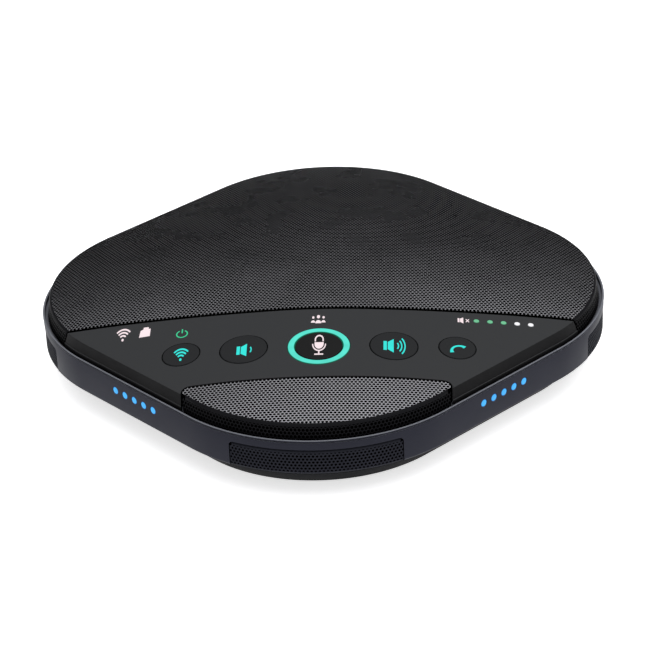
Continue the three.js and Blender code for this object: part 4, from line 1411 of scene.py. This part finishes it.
def stroke(points, widths):
    """A bent stroke whose width changes from point to point."""
    left, right = [], []
    for i, (x, y) in enumerate(points):
        x0, y0 = points[max(i - 1, 0)]
        x1, y1 = points[min(i + 1, len(points) - 1)]
        nx, ny = side_of((x0, y0), (x1, y1))
        half = widths[i] / 2
        right.append((x + nx * half, y + ny * half))
        left.append((x - nx * half, y - ny * half))
    return right + left[::-1]


def microphone():
    """A generic microphone sign: outlined top, filled lower half, cradle, stem and foot."""
    line, half, top, foot = 0.5, 1.75, 3.7, -1.5
    fill_top = 0.9
    shell = arc_points(0, top - half, half, 0, 180)
    inner = arc_points(0, top - half, half - line, 180, 0)
    hood_foot = fill_top + 0.35
    hood = [(half, hood_foot), *shell, (-half, hood_foot)]
    hood += [(line - half, hood_foot), *inner, (half - line, hood_foot)]
    body = [(half, fill_top), (-half, fill_top), *arc_points(0, foot + half, half, 180, 360)]
    cradle = arc_band(0, 0.3, 2.25, 2.68, 180, 360, 20)
    return [hood, body, cradle, bar(-0.25, -3.3, 0.25, -2.3), bar(-1.7, -3.75, 1.7, -3.3)]


def arc_points(x, y, radius, start, end, steps=12):
    turns = [math.radians(start + (end - start) * k / steps) for k in range(steps + 1)]
    return [(x + radius * math.cos(t), y + radius * math.sin(t)) for t in turns]


def speaker(waves, width, height):
    """A loudspeaker sign with that many sound waves; width and height of the horn's mouth."""
    tail = bar(0, -height * 0.33, width * 0.33, height * 0.33)
    horn = [
        (width * 0.42, -height * 0.27),
        (width, -height * 0.5),
        (width, height * 0.5),
        (width * 0.42, height * 0.27),
    ]
    shapes = [tail, horn]
    for i in range(waves):
        reach = height * (0.24 + 0.25 * i)
        shapes.append(arc_band(width * 1.1, 0, reach, reach + height * 0.1, -46, 46))
    right = width * 1.1 + height * (0.24 + 0.25 * (waves - 1) + 0.1) if waves else width
    return [[(x - right / 2, y) for x, y in shape] for shape in shapes]


def crossed_speaker():
    shapes = speaker(0, 2.2, 2.5)
    for lean in (-1, 1):
        shapes.append(stroke([(2.1, -0.6 * lean), (3.3, 0.6 * lean)], [0.32, 0.32]))
    return [[(x - 0.9, y) for x, y in shape] for shape in shapes]


def radio_waves(size):
    """A generic wireless sign: a dot under three arcs."""
    foot = -size / 2
    shapes = [circle(0, foot + size * 0.1, size * 0.1, 16)]
    for i in range(3):
        reach = size * (0.27 + 0.24 * i)
        shapes.append(arc_band(0, foot + size * 0.1, reach, reach + size * 0.12, 45, 135))
    return shapes


def power():
    return [arc_band(0, -0.25, 1.85, 2.35, 118, 422, 28), bar(-0.25, 0.3, 0.25, 2.7)]


def handset():
    points, widths = [], []
    for k in range(15):
        t = k / 14
        angle = math.radians(200 - 150 * t)
        points.append((0.4 + 3.1 * math.cos(angle), -1.4 + 3.3 * math.sin(angle)))
        widths.append(0.85 + 0.75 * abs(2 * t - 1) ** 3)
    return [stroke(points, widths)]


def card():
    """A generic memory-card sign."""
    return [[
        (-2.1, -2.0), (2.1, -1.8), (2.1, 1.2), (1.3, 1.2),
        (1.3, 1.9), (-0.7, 1.9), (-0.7, 1.2), (-1.8, 0.6),
    ]]


def meeting():
    """A generic sign for a meeting: three people side by side."""
    shapes = []
    for x, scale in ((0.0, 1.0), (-2.0, 0.72), (2.0, 0.72)):
        shapes.append(circle(x, 0.95 * scale, 0.62 * scale, 18))
        shapes.append(arc_points(x, -1.5 * scale - (1 - scale) * 0.6, 1.15 * scale, 0, 180))
    return shapes


def sign(name, x, y, shapes, stretch, material, body, face, slot):
    """Thin raised shapes printed on a face, drawn about (x, y) and stretched along Y."""
    thickness, rise = 0.1, 0.05
    points, faces = [], []
    for shape in shapes:
        if area_of(shape) < 0:
            shape = shape[::-1]
        placed = [(x + px, y + py * stretch) for px, py in shape]
        top = [(px, py, float(face(px, py)) + rise) for px, py in placed]
        low = [(px, py, pz - thickness) for px, py, pz in top]
        start, count = len(points), len(shape)
        points += top + low
        faces.append(tuple(range(start, start + count)))
        faces.append(tuple(reversed(range(start + count, start + 2 * count))))
        for i in range(count):
            after = (i + 1) % count
            faces.append((start + i, start + count + i, start + count + after, start + after))
    piece(name, points, faces, material, slot, body, crease=30, glow=[1.0] * len(points))


def signs():
    upright = 1.79
    for name, shapes, stretch, offset in (
        ("wireless", radio_waves(4.7), upright, (0, -0.2)),
        ("volume_down", speaker(1, 3.9, 4.6), upright, (0.3, -0.9)),
        ("volume_up", speaker(3, 3.9, 5.0), upright, (0.3, -0.3)),
        ("call", handset(), 1.0, (0.5, -0.8)),
    ):
        x, y, _ = key_place(name)
        sign(f"{name}_sign", x + offset[0], y + offset[1], shapes, stretch, SIGN_CYAN,
             f"{name}_key", key_face, "ring_light")
    x, y, _ = ring_place()
    sign("mute_sign", x + 0.1, y + 0.6, microphone(), upright, SIGN_WHITE,
         "mute_key", key_face, "status_light")
    for name, place, shapes, stretch, material in (
        ("power_sign", (-53.2, -47.0), power(), 1.1, SIGN_GREEN),
        ("storage_sign", (-68.1, -43.1), card(), 1.65, SIGN_WHITE),
        ("wireless_status_sign", (-76.7, -43.2), radio_waves(4.5), 1.9, SIGN_WHITE),
        ("volume_sign", (56.1, -42.1), crossed_speaker(), 1.6, SIGN_WHITE),
        ("meeting_sign", (0.0, -44.1), meeting(), 1.9, SIGN_WHITE),
    ):
        sign(name, *place, shapes, stretch, material, "root", dome, "status_light")


# ------------------------------------------------------------ carried-over CAD nodes

LOOKS = {
    "chassis_plate": PLASTIC,
    "audio_socket": PLASTIC,
    "usb_socket": STEEL,
    "speaker_basket": STEEL,
    "speaker_magnet": STEEL,
    "front_speaker_basket": STEEL,
    "voice_coil": COPPER,
    "speaker_cone": PAPER,
    "dust_cap": PAPER,
    "front_speaker_cone": PAPER,
    "speaker_surround": RUBBER,
    "battery_pack": WRAP,
    "key_board": BOARD,
    "main_board": BOARD,
    "port_board": BOARD,
    "status_light_guide": CLEAR,
}
FAMILIES = {
    "_switch": PLASTIC,
    "mic_boot_": RUBBER,
    "mic_capsule_": STEEL,
    "base_screw_": DARK_STEEL,
}


def dress_frame():
    for name, node in frame["nodes"].items():
        look = LOOKS.get(name)
        for part, material in FAMILIES.items():
            if part in name and look is None:
                look = material
        if look:
            coat(node.data, look, 30)


# ------------------------------------------------------------ camera, light and floor


def camera():
    lens_mm, distance = 143.05, 1.0493
    elevation, azimuth, roll = math.radians(28.737), math.radians(2.659), math.radians(2.644)
    aim = Vector((0.0007, -0.0058, 0.0159))
    turn = Matrix.Rotation(azimuth, 3, "Z")
    ahead = Vector((0, math.cos(elevation), -math.sin(elevation)))
    level_up = Vector((0, math.sin(elevation), math.cos(elevation)))
    level_right = Vector((1, 0, 0))
    right = turn @ (level_right * math.cos(roll) - level_up * math.sin(roll))
    up = turn @ (level_right * math.sin(roll) + level_up * math.cos(roll))
    ahead = turn @ ahead
    data = bpy.data.cameras.new("camera")
    data.lens = lens_mm
    data.sensor_width = 36
    data.clip_end = 50
    obj = linked("camera", data)
    spin = Matrix((right, up, -ahead)).transposed().to_4x4()
    obj.matrix_world = Matrix.Translation(aim - ahead * distance) @ spin
    bpy.context.scene.camera = obj


def soft_light(name, place, aim, size, power):
    """A softbox that lights the scene but doesn't mirror in it; the studio's gradient does."""
    data = bpy.data.lights.new(name, "AREA")
    data.shape = "RECTANGLE"
    data.size, data.size_y = size
    data.energy = power
    obj = linked(name, data)
    obj.location = place
    obj.visible_glossy = False
    obj.rotation_euler = (Vector(aim) - Vector(place)).to_track_quat("-Z", "Y").to_euler()


# Brightness of the studio by the sine of the elevation.
SKY = ((0.0, 0.03), (0.22, 0.035), (0.41, 0.15), (0.56, 0.35), (0.68, 1.05), (0.8, 1.7))


def world():
    """White behind the object; as light, dim at the horizon and brighter overhead."""
    surroundings = bpy.data.worlds.new("studio")
    bpy.context.scene.world = surroundings
    surroundings.use_nodes = True
    nodes, links = surroundings.node_tree.nodes, surroundings.node_tree.links
    seen = nodes["Background"]
    seen.inputs["Color"].default_value = (1, 1, 1, 1)
    lit = nodes.new("ShaderNodeBackground")
    coordinates = nodes.new("ShaderNodeTexCoord")
    split = nodes.new("ShaderNodeSeparateXYZ")
    links.new(coordinates.outputs["Generated"], split.inputs[0])
    ramp = nodes.new("ShaderNodeValToRGB")
    stops = ramp.color_ramp.elements
    for height, value in SKY[1:-1]:
        stops.new(height).color = (value, value, value * 1.02, 1)
    for stop, (height, value) in zip((stops[0], stops[-1]), (SKY[0], SKY[-1])):
        stop.position = height
        stop.color = (value, value, value * 1.02, 1)
    links.new(split.outputs["Z"], ramp.inputs["Fac"])
    sideways = nodes.new("ShaderNodeMapRange")
    for key, value in {"From Min": -0.6, "From Max": 0.6, "To Min": 0.6, "To Max": 1.4}.items():
        sideways.inputs[key].default_value = value
    links.new(split.outputs["X"], sideways.inputs["Value"])
    links.new(sideways.outputs[0], lit.inputs["Strength"])
    links.new(ramp.outputs["Color"], lit.inputs["Color"])
    path = nodes.new("ShaderNodeLightPath")
    mix = nodes.new("ShaderNodeMixShader")
    links.new(path.outputs["Is Camera Ray"], mix.inputs[0])
    links.new(lit.outputs[0], mix.inputs[1])
    links.new(seen.outputs[0], mix.inputs[2])
    links.new(mix.outputs[0], nodes["World Output"].inputs["Surface"])


FLOOR_GLOW = 0.7  # the floor is a softly lit table, which keeps its shadows faint


def floor():
    look = Nodes("pale floor")
    blotches = look.noise(90.0, 2.0)
    look.link(look.tint(blotches, (0.93, 0.93, 0.93), 0.99, 1.01), look.shader, "Base Color")
    look.shader.inputs["Roughness"].default_value = 0.9
    look.shader.inputs["Specular IOR Level"].default_value = 0.1
    look.shader.inputs["Emission Color"].default_value = (1, 1, 1, 1)
    look.shader.inputs["Emission Strength"].default_value = FLOOR_GLOW
    mesh = bpy.data.meshes.new("floor")
    half = 3.0
    corners = [(-half, -half, 0), (half, -half, 0), (half, half, 0), (-half, half, 0)]
    mesh.from_pydata(corners, [], [(0, 1, 2, 3)])
    mesh.materials.append(look.material)
    obj = linked("floor", mesh)


def studio():
    scene = bpy.context.scene
    scene.view_settings.view_transform = "Standard"
    world()
    floor()
    soft_light("top softbox", (0.0, 0.0, 1.5), (0, 0, 0), (2.4, 2.0), 5)


# ------------------------------------------------------------ making

camera()
studio()
side_housing()
base_shell()
feet()
rear_grille()
front_grille()
carriers()
control_panel()
keys()
light_ring()
side_lights()
level_lights()
mic_grilles()
signs()
dress_frame()
